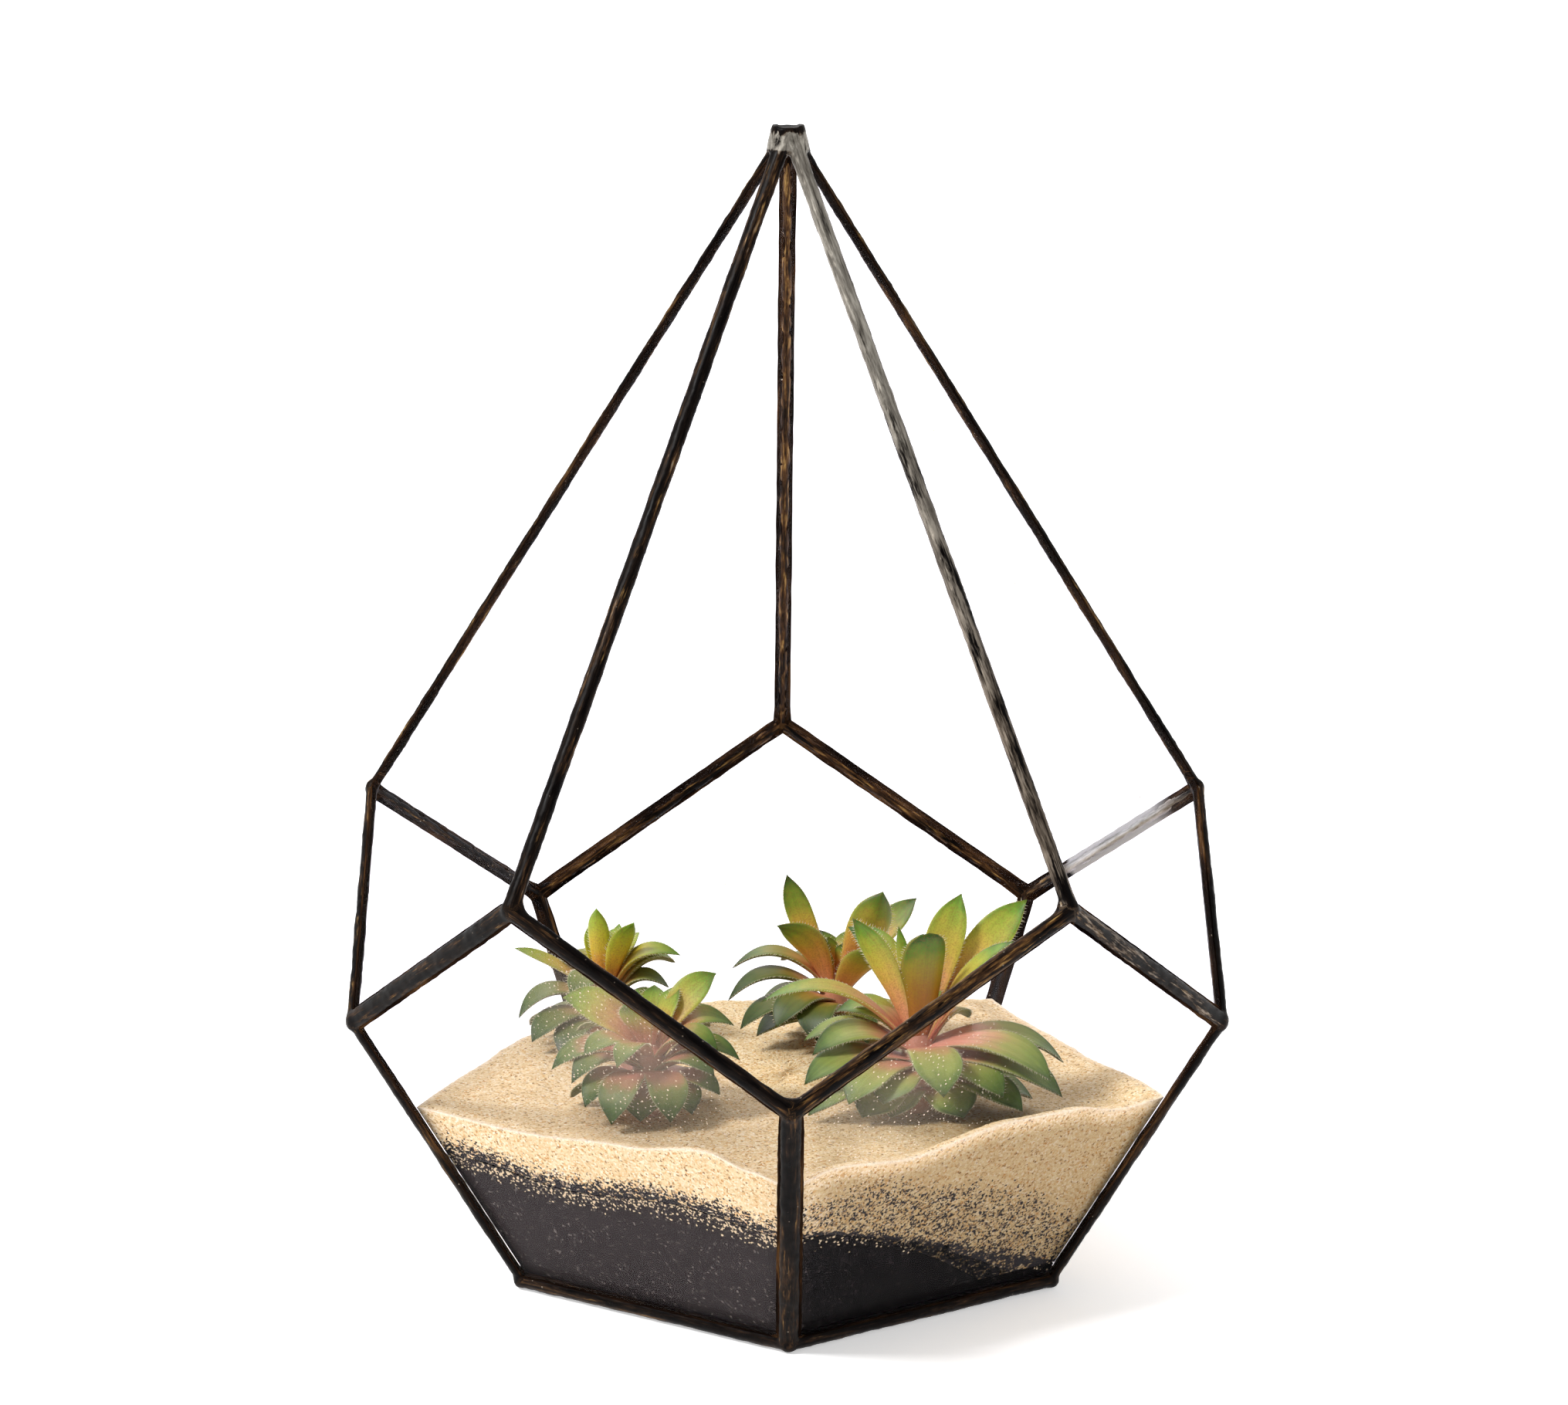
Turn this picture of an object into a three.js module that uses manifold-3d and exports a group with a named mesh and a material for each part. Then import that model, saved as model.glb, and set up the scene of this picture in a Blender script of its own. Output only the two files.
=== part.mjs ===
// Glass plant terrarium: a faceted house of flat glass panes in copper-foil work, with dark solder
// seams, two layers of sand and four rosette succulents. Millimetres, +Z up. The origin is on the
// table under the middle of the base, and the open front pane faces -Y.
import * as THREE from 'three';
import { mergeVertices } from 'three/addons/utils/BufferGeometryUtils.js';
import Module from 'manifold-3d';

const wasm = await Module();
wasm.setup();

// ---- Driving dimensions ----
const BASE_EDGE = 80; // side of the base pentagon, seam centre to seam centre
const FOOT = 2.4; // height of the base seams' centres above the table
const SHOULDER_RADIUS = 108.7; // the five upper belt corners
const SHOULDER_RISE = 110.4; // their height above the base seams
const WAIST_RADIUS = 109.5; // the five lower belt corners
const GLASS = 2; // thickness of the glass
const GLASS_SEAT = 1.6; // from a seam's centre to the edge of the pane in it
const GAP = 0.3; // clearance where two pieces touch
const SEAM_WIDE = 2.65; // seam radius round the body
const SEAM_SLIM = 2.15; // seam radius up to the apex and round the mouth
const SEAM_SIDES = 8;
const JOINT = 3.2; // radius of the solder joint at a corner
const KNOB = { foot: 275.7, top: 282.9, footRadius: 5.5, topRadius: 4.2, dish: 0.7 };
const SAND_LEVEL = 48.2; // the beige sand's surface, away from the glass
const BLACK_LEVEL = 34.5; // the black sand's surface, on the left
const SAND_GRID = 7.5; // spacing of the sand surface's points
const STEM_RADIUS = 3;
const STEM_FOOT = 38; // how deep the stems go, above the table
const LEAF_ROOT = 1.5; // where leaves start, from the stem's axis
const LEAF_LOWEST = 49.8; // leaf tips stay above the sand

// ---- Derived ring sizes: the side panes and the upper panes are flat ----
const DEG = Math.PI / 180;
const COS36 = Math.cos(36 * DEG);
const FOOT_RADIUS = BASE_EDGE / (2 * Math.sin(36 * DEG));
const FOOT_INRADIUS = FOOT_RADIUS * COS36;
const SIDE_SLOPE = SHOULDER_RISE / (SHOULDER_RADIUS - FOOT_INRADIUS);
const WAIST_RISE = SIDE_SLOPE * (WAIST_RADIUS * COS36 - FOOT_INRADIUS);
const KITE_SLOPE = (SHOULDER_RISE - WAIST_RISE) / (WAIST_RADIUS - SHOULDER_RADIUS * COS36);
const APEX_RISE = SHOULDER_RISE + KITE_SLOPE * SHOULDER_RADIUS * COS36;

const onRing = (radius, rise, azimuth) => new THREE.Vector3(
  radius * Math.sin(azimuth * DEG), -radius * Math.cos(azimuth * DEG), FOOT + rise);
const five = [0, 1, 2, 3, 4];
const foot = five.map((i) => onRing(FOOT_RADIUS, 0, 72 * i));
const waist = five.map((i) => onRing(WAIST_RADIUS, WAIST_RISE, 72 * i));
const shoulder = five.map((i) => onRing(SHOULDER_RADIUS, SHOULDER_RISE, 72 * i + 36));
const apex = onRing(0, APEX_RISE, 0);
const next = (i) => (i + 1) % 5;
const before = (i) => (i + 4) % 5;

// ---- Materials ----
const material = (color, roughness, metalness, opacity = 1) => new THREE.MeshStandardMaterial(
  { color, roughness, metalness, opacity, transparent: opacity < 1, flatShading: true });
const glass = () => material(0xf2f1f6, 0.05, 0, 0.3);
const solder = () => material(0x2b2523, 0.45, 0.7);
const blackSand = () => material(0x2f2c2e, 0.95, 0);
const beigeSand = () => material(0xdcc39a, 0.95, 0);
const succulent = () => material(0x7f9a45, 0.5, 0);

// ---- Solids: a closed geometry becomes a solid, and a solid becomes a mesh ----
function solid(geometry) {
  const shell = geometry.clone();
  shell.deleteAttribute('normal');
  shell.deleteAttribute('uv');
  const closed = mergeVertices(shell, 1e-4);
  return new wasm.Manifold(new wasm.Mesh({
    numProp: 3,
    vertProperties: new Float32Array(closed.attributes.position.array),
    triVerts: new Uint32Array(closed.index.array),
  }));
}

// Fused leaves can seal small hollows between them: only the outer shell is kept, which fills them
function outerShell({ vertProperties, triVerts }) {
  const parent = Array.from({ length: vertProperties.length / 3 }, (_, i) => i);
  const root = (i) => {
    let at = i;
    while (parent[at] !== at) at = parent[at];
    parent[i] = at;
    return at;
  };
  const triangles = [];
  for (let i = 0; i < triVerts.length; i += 3) {
    const triangle = [...triVerts.slice(i, i + 3)];
    triangles.push(triangle);
    parent[root(triangle[1])] = root(triangle[0]);
    parent[root(triangle[2])] = root(triangle[0]);
  }
  const counts = new Map();
  for (const [a] of triangles) counts.set(root(a), (counts.get(root(a)) ?? 0) + 1);
  const [outer] = [...counts].reduce((best, entry) => (entry[1] > best[1] ? entry : best));
  return triangles.filter(([a]) => root(a) === outer).flat();
}

const terrarium = new THREE.Group();

function addPiece(name, piece, finish) {
  const surface = piece.getMesh();
  const loose = new THREE.BufferGeometry();
  loose.setAttribute('position', new THREE.BufferAttribute(surface.vertProperties, 3));
  loose.setIndex(outerShell(surface));
  const geometry = mergeVertices(loose.toNonIndexed(), 0);
  geometry.computeVertexNormals();
  const mesh = new THREE.Mesh(geometry, finish);
  mesh.name = name;
  terrarium.add(mesh);
}

function box(width, depth, height, x, y, z) {
  return solid(new THREE.BoxGeometry(width, depth, height).translate(x, y, z));
}

const REACH = 300; // larger than the object, for trimming
const underTable = box(REACH, REACH, REACH, 0, 0, -REACH / 2);
const aboveSeams = box(REACH, REACH, REACH, 0, 0, KNOB.foot - GAP + REACH / 2);

// ---- Glass: a flat polygon set back from its seams, with its corners nipped for the joints ----
function paneOutline(corners, seat, nip) {
  const centre = corners.reduce((sum, p) => sum.clone().add(p)).divideScalar(corners.length);
  const across = corners[1].clone().sub(corners[0]).normalize();
  const normal = across.clone().cross(corners[2].clone().sub(corners[0])).normalize();
  const up = normal.clone().cross(across);
  const flat = corners.map((p) => {
    const d = p.clone().sub(centre);
    return new THREE.Vector2(d.dot(across), d.dot(up));
  });
  const outline = [];
  flat.forEach((corner, i) => {
    const toLast = flat[(i + flat.length - 1) % flat.length].clone().sub(corner).normalize();
    const toNext = flat[(i + 1) % flat.length].clone().sub(corner).normalize();
    const inward = toLast.clone().add(toNext).normalize();
    const half = Math.acos(toLast.dot(toNext)) / 2;
    const inset = seat / Math.sin(half);
    const start = corner.clone().addScaledVector(inward, inset);
    if (nip <= inset) {
      outline.push(start);
      return;
    }
    const run = (nip - inset) / Math.cos(half);
    outline.push(start.clone().addScaledVector(toLast, run), start.clone().addScaledVector(toNext, run));
  });
  const place = new THREE.Matrix4().makeBasis(across, up, normal).setPosition(centre);
  return { outline, place };
}

function plate(corners, seat, nip, depth) {
  const { outline, place } = paneOutline(corners, seat, nip);
  const slab = new THREE.ExtrudeGeometry(new THREE.Shape(outline), { depth, bevelEnabled: false });
  return solid(slab.translate(0, 0, -depth / 2).applyMatrix4(place));
}

const pane = (corners) => plate(corners, GLASS_SEAT, JOINT + GAP, GLASS).subtract(aboveSeams);
const channel = (corners) => plate(corners, GLASS_SEAT - GAP, 0, GLASS + 2 * GAP);

const sideCorners = (i) => [foot[i], foot[next(i)], waist[next(i)], shoulder[i], waist[i]];
const kiteCorners = (i) => [waist[i], shoulder[i], apex, shoulder[before(i)]];
const paneCorners = {
  glass_base: [...foot].reverse(),
  ...Object.fromEntries(five.map((i) => [`glass_side_${i}`, sideCorners(i)])),
  ...Object.fromEntries(five.slice(1).map((i) => [`glass_kite_${i}`, kiteCorners(i)])),
};
for (const [name, corners] of Object.entries(paneCorners)) addPiece(name, pane(corners), glass());

// ---- Solder seams: round bars along the edges, with a channel for each pane ----
const channels = Object.values(paneCorners).map((corners) => ({ corners, cut: channel(corners) }));

function bar(from, to, radius, short) {
  const along = to.clone().sub(from);
  const length = along.length() - 2 * short;
  const turn = new THREE.Quaternion().setFromUnitVectors(
    new THREE.Vector3(0, 1, 0), along.clone().normalize());
  const rod = new THREE.CylinderGeometry(radius, radius, length, SEAM_SIDES);
  const middle = from.clone().add(to).divideScalar(2);
  return solid(rod.rotateY(Math.PI / SEAM_SIDES).applyQuaternion(turn)
    .translate(middle.x, middle.y, middle.z));
}

function seam(name, from, to, radius) {
  let piece = bar(from, to, radius, JOINT + GAP).subtract(underTable).subtract(aboveSeams);
  for (const { corners, cut } of channels) {
    if (corners.includes(from) && corners.includes(to)) piece = piece.subtract(cut);
  }
  addPiece(name, piece, solder());
}

for (const i of five) {
  const belt = i === 0 ? SEAM_SLIM : SEAM_WIDE;
  seam(`seam_base_${i}`, foot[i], foot[next(i)], SEAM_WIDE);
  seam(`seam_riser_${i}`, foot[i], waist[i], SEAM_WIDE);
  seam(`seam_belt_right_${i}`, waist[i], shoulder[i], belt);
  seam(`seam_belt_left_${i}`, shoulder[before(i)], waist[i], belt);
  seam(`seam_apex_${i}`, shoulder[i], apex, SEAM_SLIM);
}

// ---- Solder joints: a rounded blob at each corner, and the flat-topped knob at the apex ----
function blob(corner, grow = 0) {
  const ball = new THREE.IcosahedronGeometry(JOINT + grow, 1);
  return solid(ball.translate(corner.x, corner.y, corner.z));
}

for (const i of five) {
  addPiece(`joint_foot_${i}`, blob(foot[i]).subtract(underTable), solder());
  addPiece(`joint_waist_${i}`, blob(waist[i]), solder());
  addPiece(`joint_shoulder_${i}`, blob(shoulder[i]), solder());
}

const lathe = (profile, sides) => solid(
  new THREE.LatheGeometry(profile.map(([r, z]) => new THREE.Vector2(r, z)), sides)
    .rotateX(Math.PI / 2));
addPiece('joint_apex', lathe([
  [0, KNOB.foot], [KNOB.footRadius, KNOB.foot], [KNOB.topRadius, KNOB.top],
  [KNOB.topRadius - KNOB.dish, KNOB.top], [0, KNOB.top - KNOB.dish]], SEAM_SIDES), solder());

// ---- Sand: two layers that fill the base, with an uneven boundary and a drifted surface ----
const smooth = (t) => t * t * (3 - 2 * t);
const clamp01 = (t) => Math.min(1, Math.max(0, t));

// Height of the beige sand where it lies against the glass, round the body from the front
const DRIFT = [[0, 49], [7, 51.6], [20, 49.6], [42, 53.8], [56, 53.4], [66, 50.4], [74, 51.4],
  [104, 48.5], [140, 46.6], [180, 46.5], [220, 44.5], [250, 47.3], [288, 48.6], [305, 47.8],
  [330, 50.4], [347, 54], [354, 51]];

function driftHeight(azimuth) {
  const k = DRIFT.findLastIndex(([at]) => at <= azimuth);
  const [from, low] = DRIFT[k];
  const [to, high] = k + 1 < DRIFT.length ? DRIFT[k + 1] : [360, DRIFT[0][1]];
  return low + (high - low) * smooth((azimuth - from) / (to - from));
}

// How far out a point is: 1 on the inside of the glass at the sand's height
const wallInradius = (z) => FOOT_INRADIUS + (z - FOOT) / SIDE_SLOPE
  - (GLASS / 2 + GAP) * Math.hypot(1, 1 / SIDE_SLOPE);
function outwardness(x, y) {
  const facing = five.map((i) => (72 * i + 36) * DEG);
  const reach = facing.map((a) => x * Math.sin(a) - y * Math.cos(a));
  return Math.max(...reach) / wallInradius(SAND_LEVEL);
}

const RIPPLE = { height: 0.6, acrossX: 14, acrossY: 19, shift: 0.5 };
const BANK = { from: 0.86, run: 0.12 }; // where the surface rises to the drift, by outwardness
function beigeTop(x, y) {
  const azimuth = (Math.atan2(x, -y) / DEG + 360) % 360;
  const wave = Math.sin(x / RIPPLE.acrossX + RIPPLE.shift) * Math.cos(y / RIPPLE.acrossY);
  const middle = SAND_LEVEL + RIPPLE.height * wave;
  const bank = smooth(clamp01((outwardness(x, y) - BANK.from) / BANK.run));
  return middle + (driftHeight(azimuth) - middle) * bank;
}

// The black sand waves a little on the left, dips at the front corner and runs out to the right
const WAVE = { height: 1.5, start: 14, length: 52 };
const DIP_RUN = 12;
const RUN_OUT = { fall: 28.5, run: 66, power: 1.25 };
function blackTop(x) {
  if (x <= 0) {
    return BLACK_LEVEL + WAVE.height * Math.sin((2 * Math.PI * (-x - WAVE.start)) / WAVE.length);
  }
  const dip = WAVE.height * (1 - smooth(clamp01(x / DIP_RUN)));
  return BLACK_LEVEL - dip - RUN_OUT.fall * (x / RUN_OUT.run) ** RUN_OUT.power;
}

// A block from under the table up to a surface, wider than the body
function heap(height) {
  const size = 2 * wallInradius(SAND_LEVEL) / COS36 + 2 * SAND_GRID;
  const steps = Math.round(size / SAND_GRID);
  const block = new THREE.BoxGeometry(size, size, 1, steps, steps, 1);
  const points = block.attributes.position;
  for (let i = 0; i < points.count; i += 1) {
    const up = points.getZ(i) > 0;
    points.setZ(i, up ? height(points.getX(i), points.getY(i)) : -FOOT);
  }
  return solid(block);
}

const FILL_TOP = 62; // above every sand surface
function insideOfGlass() {
  const floor = FOOT + GLASS / 2 + GAP;
  const radius = (z) => wallInradius(z) / COS36;
  const room = new THREE.CylinderGeometry(radius(FILL_TOP), radius(floor), FILL_TOP - floor, 5)
    .rotateX(Math.PI / 2).translate(0, 0, (FILL_TOP + floor) / 2);
  let fill = solid(room);
  for (const i of five) {
    fill = fill.subtract(bar(foot[i], waist[i], SEAM_WIDE + GAP, 0));
    fill = fill.subtract(bar(foot[i], foot[next(i)], SEAM_WIDE + GAP, 0));
    fill = fill.subtract(blob(foot[i], GAP));
  }
  return fill;
}

// ---- Rosettes: where each crown stands, and its leaves ----
// A leaf is [azimuth, reach, rise, bow, width, drop, roll]: the way it points, how far its tip is
// out from and above the crown, how much it arches, its width, how far below the crown it starts,
// and its twist. Angles are in degrees and azimuth 0 points to the front.
const ROSETTES = {
  rosette_front_right: {
    crown: [31.5, -30, 67],
    backFrom: 118,
    leaves: [
      [-85, 38, 9, 9, 8, 3, -15], [-65, 18, 31, 2, 8, 1, 45], [-90, 5, 27, 0, 5, 0, 45],
      [18, 7, 27, 2, 11.5, 1, 0], [127, 13, 33, 1, 10.5, 0, 36], [110, 28, 31, 2, 10, 1, 50],
      [82, 23, 24, 4, 8, 3, 15], [-130, 22, 23, 6, 9, 1, -45], [175, 19, 20, 6, 9, 1, 0],
      [-115, 22, 3, 6, 7, 4, -30], [-75, 25, -6, 7, 9, 5, -20], [-100, 28, -5, 6, 7, 5, -20],
      [-70, 32, -10, 7, 9, 7, -10], [-60, 29, -16, 5, 9, 9, -10], [-42, 25, -12, 7, 10, 7, 0],
      [-36, 20, -17, 5, 10, 10, 0], [-10, 16, -17, 5, 11, 11, 0], [-20, 23, -10, 6, 10, 7, 0],
      [15, 27, -7, 7, 12.5, 4, 0], [50, 24, -15, 6, 12, 10, 0], [45, 28, -9, 7, 10, 6, 0],
      [71, 35, -7, 10, 12, 3, 20], [100, 37, -8, 9, 9, 3, 10], [80, 37, -12, 8, 11, 6, 20],
      [67, 26, -15, 5, 10, 10, 20],
    ],
  },
  rosette_back_middle: {
    crown: [12.5, 26, 64.5],
    backFrom: 70,
    leaves: [
      [-135, 17, 25, -1, 8, 1, -40], [-60, 17, 17, 4, 9.5, 2, 40], [-95, 26, 1, 8, 8, 2, -15],
      [-80, 27, -4, 8, 9, 4, -15], [65, 13, 25, 0, 11.5, 0, -57], [110, 22, 20, 1, 8, 1, 40],
      [40, 20, 12, 3, 12, 3, -20], [-65, 26, -10, 6, 9, 7, -10], [-110, 21, -9, 5, 8, 6, -10],
      [-40, 21, -8, 6, 11, 6, -10], [-80, 18, -11, 5, 9, 9, -10], [-15, 15, -11, 5, 10, 9, 0],
      [-5, 17, -10, 6, 11, 7, 0], [30, 16, -10, 5, 10, 8, 0],
    ],
  },
  rosette_back_left: {
    crown: [-45, 26, 64],
    backFrom: 105,
    leaves: [
      [-15, 5, 20, 1, 9, 1, 0], [50, 8, 17, 1.5, 9.5, 1, -35], [-175, 7, 14, 0, 6, 0, 0],
      [155, 9, 15, 0.5, 6, 0, 0], [-95, 23, 7, 4, 7, 2, -30], [75, 17, 7, 5, 8, 3, 10],
      [115, 20, 5, 6, 7, 2, 20], [90, 17, -1, 5, 8, 5, 10], [60, 16, -3, 5, 8, 7, 10],
      [-25, 20, 2, 6, 9, 3, -10], [-75, 22, -11, 7, 8, 5, -15], [-50, 21, -14, 6, 9, 8, -10],
      [-35, 20, -14, 5, 8, 9, 0], [15, 18, -10, 6, 9, 7, 0],
    ],
  },
  rosette_front_left: {
    crown: [-33, -33, 64.5],
    backFrom: 118,
    leaves: [
      [-25, 22, -15, 7, 11.5, 7, 0], [15, 21, -14, 7, 11.5, 7, 0], [-10, 16, -14, 5, 11, 10, 0],
      [-47, 22, -11, 7, 10, 7, -10], [-60, 21, -6, 7, 10, 5, -15], [-20, 23, 0, 5, 8, 3, 0],
      [-75, 25, -4, 8, 9, 4, -20], [-43, 21, 1, 5, 9, 3, -10], [-95, 21, 12, 4, 12, 2, -48],
      [-38, 12, 15, 2, 11, 0, 27], [110, 17, 17, 3, 10, 1, 45], [-88, 3, 15, 0, 6, 0, 35],
      [105, 21, 4, 7, 9.5, 3, 20], [60, 19, 2, 6, 9, 4, 20], [80, 22, -2, 6, 9, 5, 15],
      [55, 21, -2, 6, 9, 6, 10], [40, 18, -12, 5, 11, 9, 0], [65, 17, -8, 5, 9, 9, 10],
    ],
  },
};

// The far side of each rosette repeats three tiers of leaves, with a small seeded unevenness
const TIERS = [
  { count: 2, reach: 13, rise: 24, bow: 2, width: 9, drop: 1 },
  { count: 4, reach: 25, rise: 5, bow: 7, width: 9.5, drop: 3 },
  { count: 4, reach: 22, rise: -13, bow: 6, width: 10.5, drop: 9 },
];

const FAR_TO = 250; // azimuth where the near leaves begin again
const UNEVEN = { azimuth: 8, size: 4 };

function seededRandom(seed) {
  let state = seed;
  return () => {
    state = (state * 1103515245 + 12345) % 2147483648;
    return state / 2147483648;
  };
}

function farLeaves(backFrom, random) {
  const leaves = [];
  TIERS.forEach((tier, row) => {
    for (let k = 0; k < tier.count; k += 1) {
      const along = (k + (row + 1) / 4) / tier.count;
      leaves.push([
        backFrom + (FAR_TO - backFrom) * along + UNEVEN.azimuth * (random() - 0.5),
        tier.reach + UNEVEN.size * (random() - 0.5),
        tier.rise + UNEVEN.size * (random() - 0.5),
        tier.bow, tier.width, tier.drop, 0]);
    }
  });
  return leaves;
}

// ---- A leaf: a tapering blade with four-sided, keeled sections along a bowed centre line ----
const LEAF_STATIONS = [0, 0.4, 0.7, 0.92];
const BLADE = { root: 0.58, widest: 0.6, taper: 2.2 }; // shares of the width and of the length
const KEEL = { root: 0.24, tip: 0.12, dish: 0.15 }; // thickness as a share of the width
const BOW_AT = 0.62; // where along a leaf its bow is highest
const TWISTED_BY = 0.5; // where along a leaf its twist is complete

function bladeWidth(t) {
  if (t < BLADE.widest) {
    return BLADE.root + (1 - BLADE.root) * Math.sin((Math.PI / 2) * (t / BLADE.widest));
  }
  return 1 - ((t - BLADE.widest) / (1 - BLADE.widest)) ** BLADE.taper;
}

function leafGeometry(crown, [azimuth, reach, rise, bow, width, drop, roll]) {
  const a = azimuth * DEG;
  const out = new THREE.Vector3(Math.sin(a), -Math.cos(a), 0);
  const side = new THREE.Vector3(Math.cos(a), Math.sin(a), 0);
  const at = (r, z) => crown.clone().addScaledVector(out, r).add(new THREE.Vector3(0, 0, z));
  const tipRise = Math.max(rise, LEAF_LOWEST - crown.z);
  const chord = new THREE.Vector2(reach - LEAF_ROOT, tipRise + drop);
  const over = new THREE.Vector2(-chord.y, chord.x).normalize().multiplyScalar(2 * bow);
  const middle = chord.clone().multiplyScalar(BOW_AT).add(over);
  const line = new THREE.QuadraticBezierCurve3(
    at(LEAF_ROOT, -drop), at(LEAF_ROOT + middle.x, middle.y - drop), at(reach, tipRise));
  const rings = LEAF_STATIONS.map((t) => {
    const centre = line.getPoint(t);
    const normal = line.getTangent(t).cross(side).normalize();
    const twist = roll * DEG * clamp01(t / TWISTED_BY);
    const across = side.clone().multiplyScalar(Math.cos(twist)).addScaledVector(normal, Math.sin(twist));
    const face = normal.clone().multiplyScalar(Math.cos(twist)).addScaledVector(side, -Math.sin(twist));
    const half = (width / 2) * bladeWidth(t);
    const thick = width * (KEEL.root + (KEEL.tip - KEEL.root) * t);
    const point = (s, n) => centre.clone().addScaledVector(across, s).addScaledVector(face, n);
    return [point(-half, 0), point(0, -KEEL.dish * thick), point(half, 0), point(0, -thick)];
  });
  return loft(rings, line.getPoint(1));
}

function loft(rings, tip) {
  const points = [...rings.flat(), tip];
  const sides = rings[0].length;
  const faces = [];
  for (let k = 1; k < sides - 1; k += 1) faces.push(0, k, k + 1);
  rings.slice(1).forEach((_, row) => {
    for (let k = 0; k < sides; k += 1) {
      const [a, b] = [row * sides + k, row * sides + ((k + 1) % sides)];
      faces.push(a, b + sides, b, a, a + sides, b + sides);
    }
  });
  const last = (rings.length - 1) * sides;
  for (let k = 0; k < sides; k += 1) {
    faces.push(last + k, points.length - 1, last + ((k + 1) % sides));
  }
  return new THREE.BufferGeometry().setFromPoints(points).setIndex(faces);
}

// ---- A rosette: a short stem and core with every leaf fused to it ----
const CORE = [[6.3, -10], [6.2, -2.5], [4.5, 2], [0, 5]]; // radius, and height from the crown
const CORE_FOOT = 14; // where the stem ends and the core begins, below the crown
const CORE_SIDES = 9;

function stemProfile(crownHeight, grow) {
  return [[0, STEM_FOOT - grow], [STEM_RADIUS + grow, STEM_FOOT - grow],
    [STEM_RADIUS + grow, crownHeight]];
}

function rosette(crown, leaves) {
  const core = lathe([
    ...stemProfile(crown.z - CORE_FOOT, 0),
    ...CORE.map(([radius, rise]) => [radius, crown.z + rise])], CORE_SIDES);
  return leaves.reduce(
    (plant, leaf) => plant.add(solid(leafGeometry(crown, leaf))),
    core.translate([crown.x, crown.y, 0]));
}

const FIRST_SEED = 11;
const STEM_CLEARANCE = 0.35; // a little over GAP, because the stem and its hole have flat sides
const room = insideOfGlass();
let beige = room.intersect(heap(beigeTop)).subtract(heap((x) => blackTop(x) + GAP));
Object.entries(ROSETTES).forEach(([name, { crown, backFrom, leaves }], i) => {
  const place = new THREE.Vector3(...crown);
  const all = [...leaves, ...farLeaves(backFrom, seededRandom(FIRST_SEED + i))];
  addPiece(name, rosette(place, all), succulent());
  const hole = lathe([...stemProfile(FILL_TOP, STEM_CLEARANCE), [0, FILL_TOP]], CORE_SIDES);
  beige = beige.subtract(hole.translate([place.x, place.y, 0]));
});
addPiece('sand_black', room.intersect(heap(blackTop)), blackSand());
addPiece('sand_beige', beige, beigeSand());

export default terrarium;
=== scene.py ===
# %% [markdown]
# # A glass plant terrarium
#
# The real object is a small faceted glasshouse in copper foil work. Each flat pane has copper tape
# folded over its edges, and molten solder joins the tapes into rounded seams, which a patina then
# turns almost black. Inside lie two layers of sand, black under beige, with four rosette
# succulents planted in them, and one pane at the front is left out as the mouth.
#
# The CAD part already gives the places and sizes. It is loaded first and stays fixed, and this
# lesson builds the looks round it: the solder, the glass, the sand and the plants. All lengths are
# in metres, in the part's own frame, so a piece goes where the CAD says.

# %% Load the CAD part, and note its box
import math
import random

import bmesh
import bpy
import numpy as np
from mathutils import Matrix, Vector, noise


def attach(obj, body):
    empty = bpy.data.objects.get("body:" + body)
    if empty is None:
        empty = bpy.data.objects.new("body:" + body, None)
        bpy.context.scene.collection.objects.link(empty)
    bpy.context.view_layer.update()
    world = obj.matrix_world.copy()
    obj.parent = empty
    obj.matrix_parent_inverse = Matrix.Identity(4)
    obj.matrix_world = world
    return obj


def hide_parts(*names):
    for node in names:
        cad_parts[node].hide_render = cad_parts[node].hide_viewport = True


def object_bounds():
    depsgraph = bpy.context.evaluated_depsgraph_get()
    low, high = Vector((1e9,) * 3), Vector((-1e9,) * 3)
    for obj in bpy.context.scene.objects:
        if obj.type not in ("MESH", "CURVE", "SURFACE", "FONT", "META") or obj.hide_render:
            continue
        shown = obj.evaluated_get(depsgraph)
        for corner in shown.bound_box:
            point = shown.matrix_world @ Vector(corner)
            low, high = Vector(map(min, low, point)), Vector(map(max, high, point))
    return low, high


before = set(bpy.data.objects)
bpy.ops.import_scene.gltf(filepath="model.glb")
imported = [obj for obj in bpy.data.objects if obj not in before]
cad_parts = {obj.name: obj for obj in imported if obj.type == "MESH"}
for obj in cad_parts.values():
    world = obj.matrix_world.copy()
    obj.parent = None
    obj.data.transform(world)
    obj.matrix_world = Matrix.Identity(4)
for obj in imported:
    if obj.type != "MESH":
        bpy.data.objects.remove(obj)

MM = 0.001
cad_low, cad_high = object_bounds()
print("CAD box from", [round(v, 4) for v in cad_low], "to", [round(v, 4) for v in cad_high])

# %% [markdown]
# ## The camera
#
# The photograph was taken a little above the belt of the glasshouse, from 1.27 m away, with a long
# lens. The camera could be turned by eye, but its place was solved from the corners of the glass,
# so it is given here as a distance, a height angle, a small turn and a small tilt, and the matrix
# is built from those.

# %% Place the camera
LOOK_AT = Vector((-0.7, 0, 142.1)) * MM
CAMERA_DISTANCE = 1.27355
CAMERA_RISE = math.radians(12.322)
CAMERA_TURN = math.radians(-0.608)
CAMERA_TILT = math.radians(0.136)
FOCAL_LENGTH = 120.447  # in mm, on a sensor 36 mm wide

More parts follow.
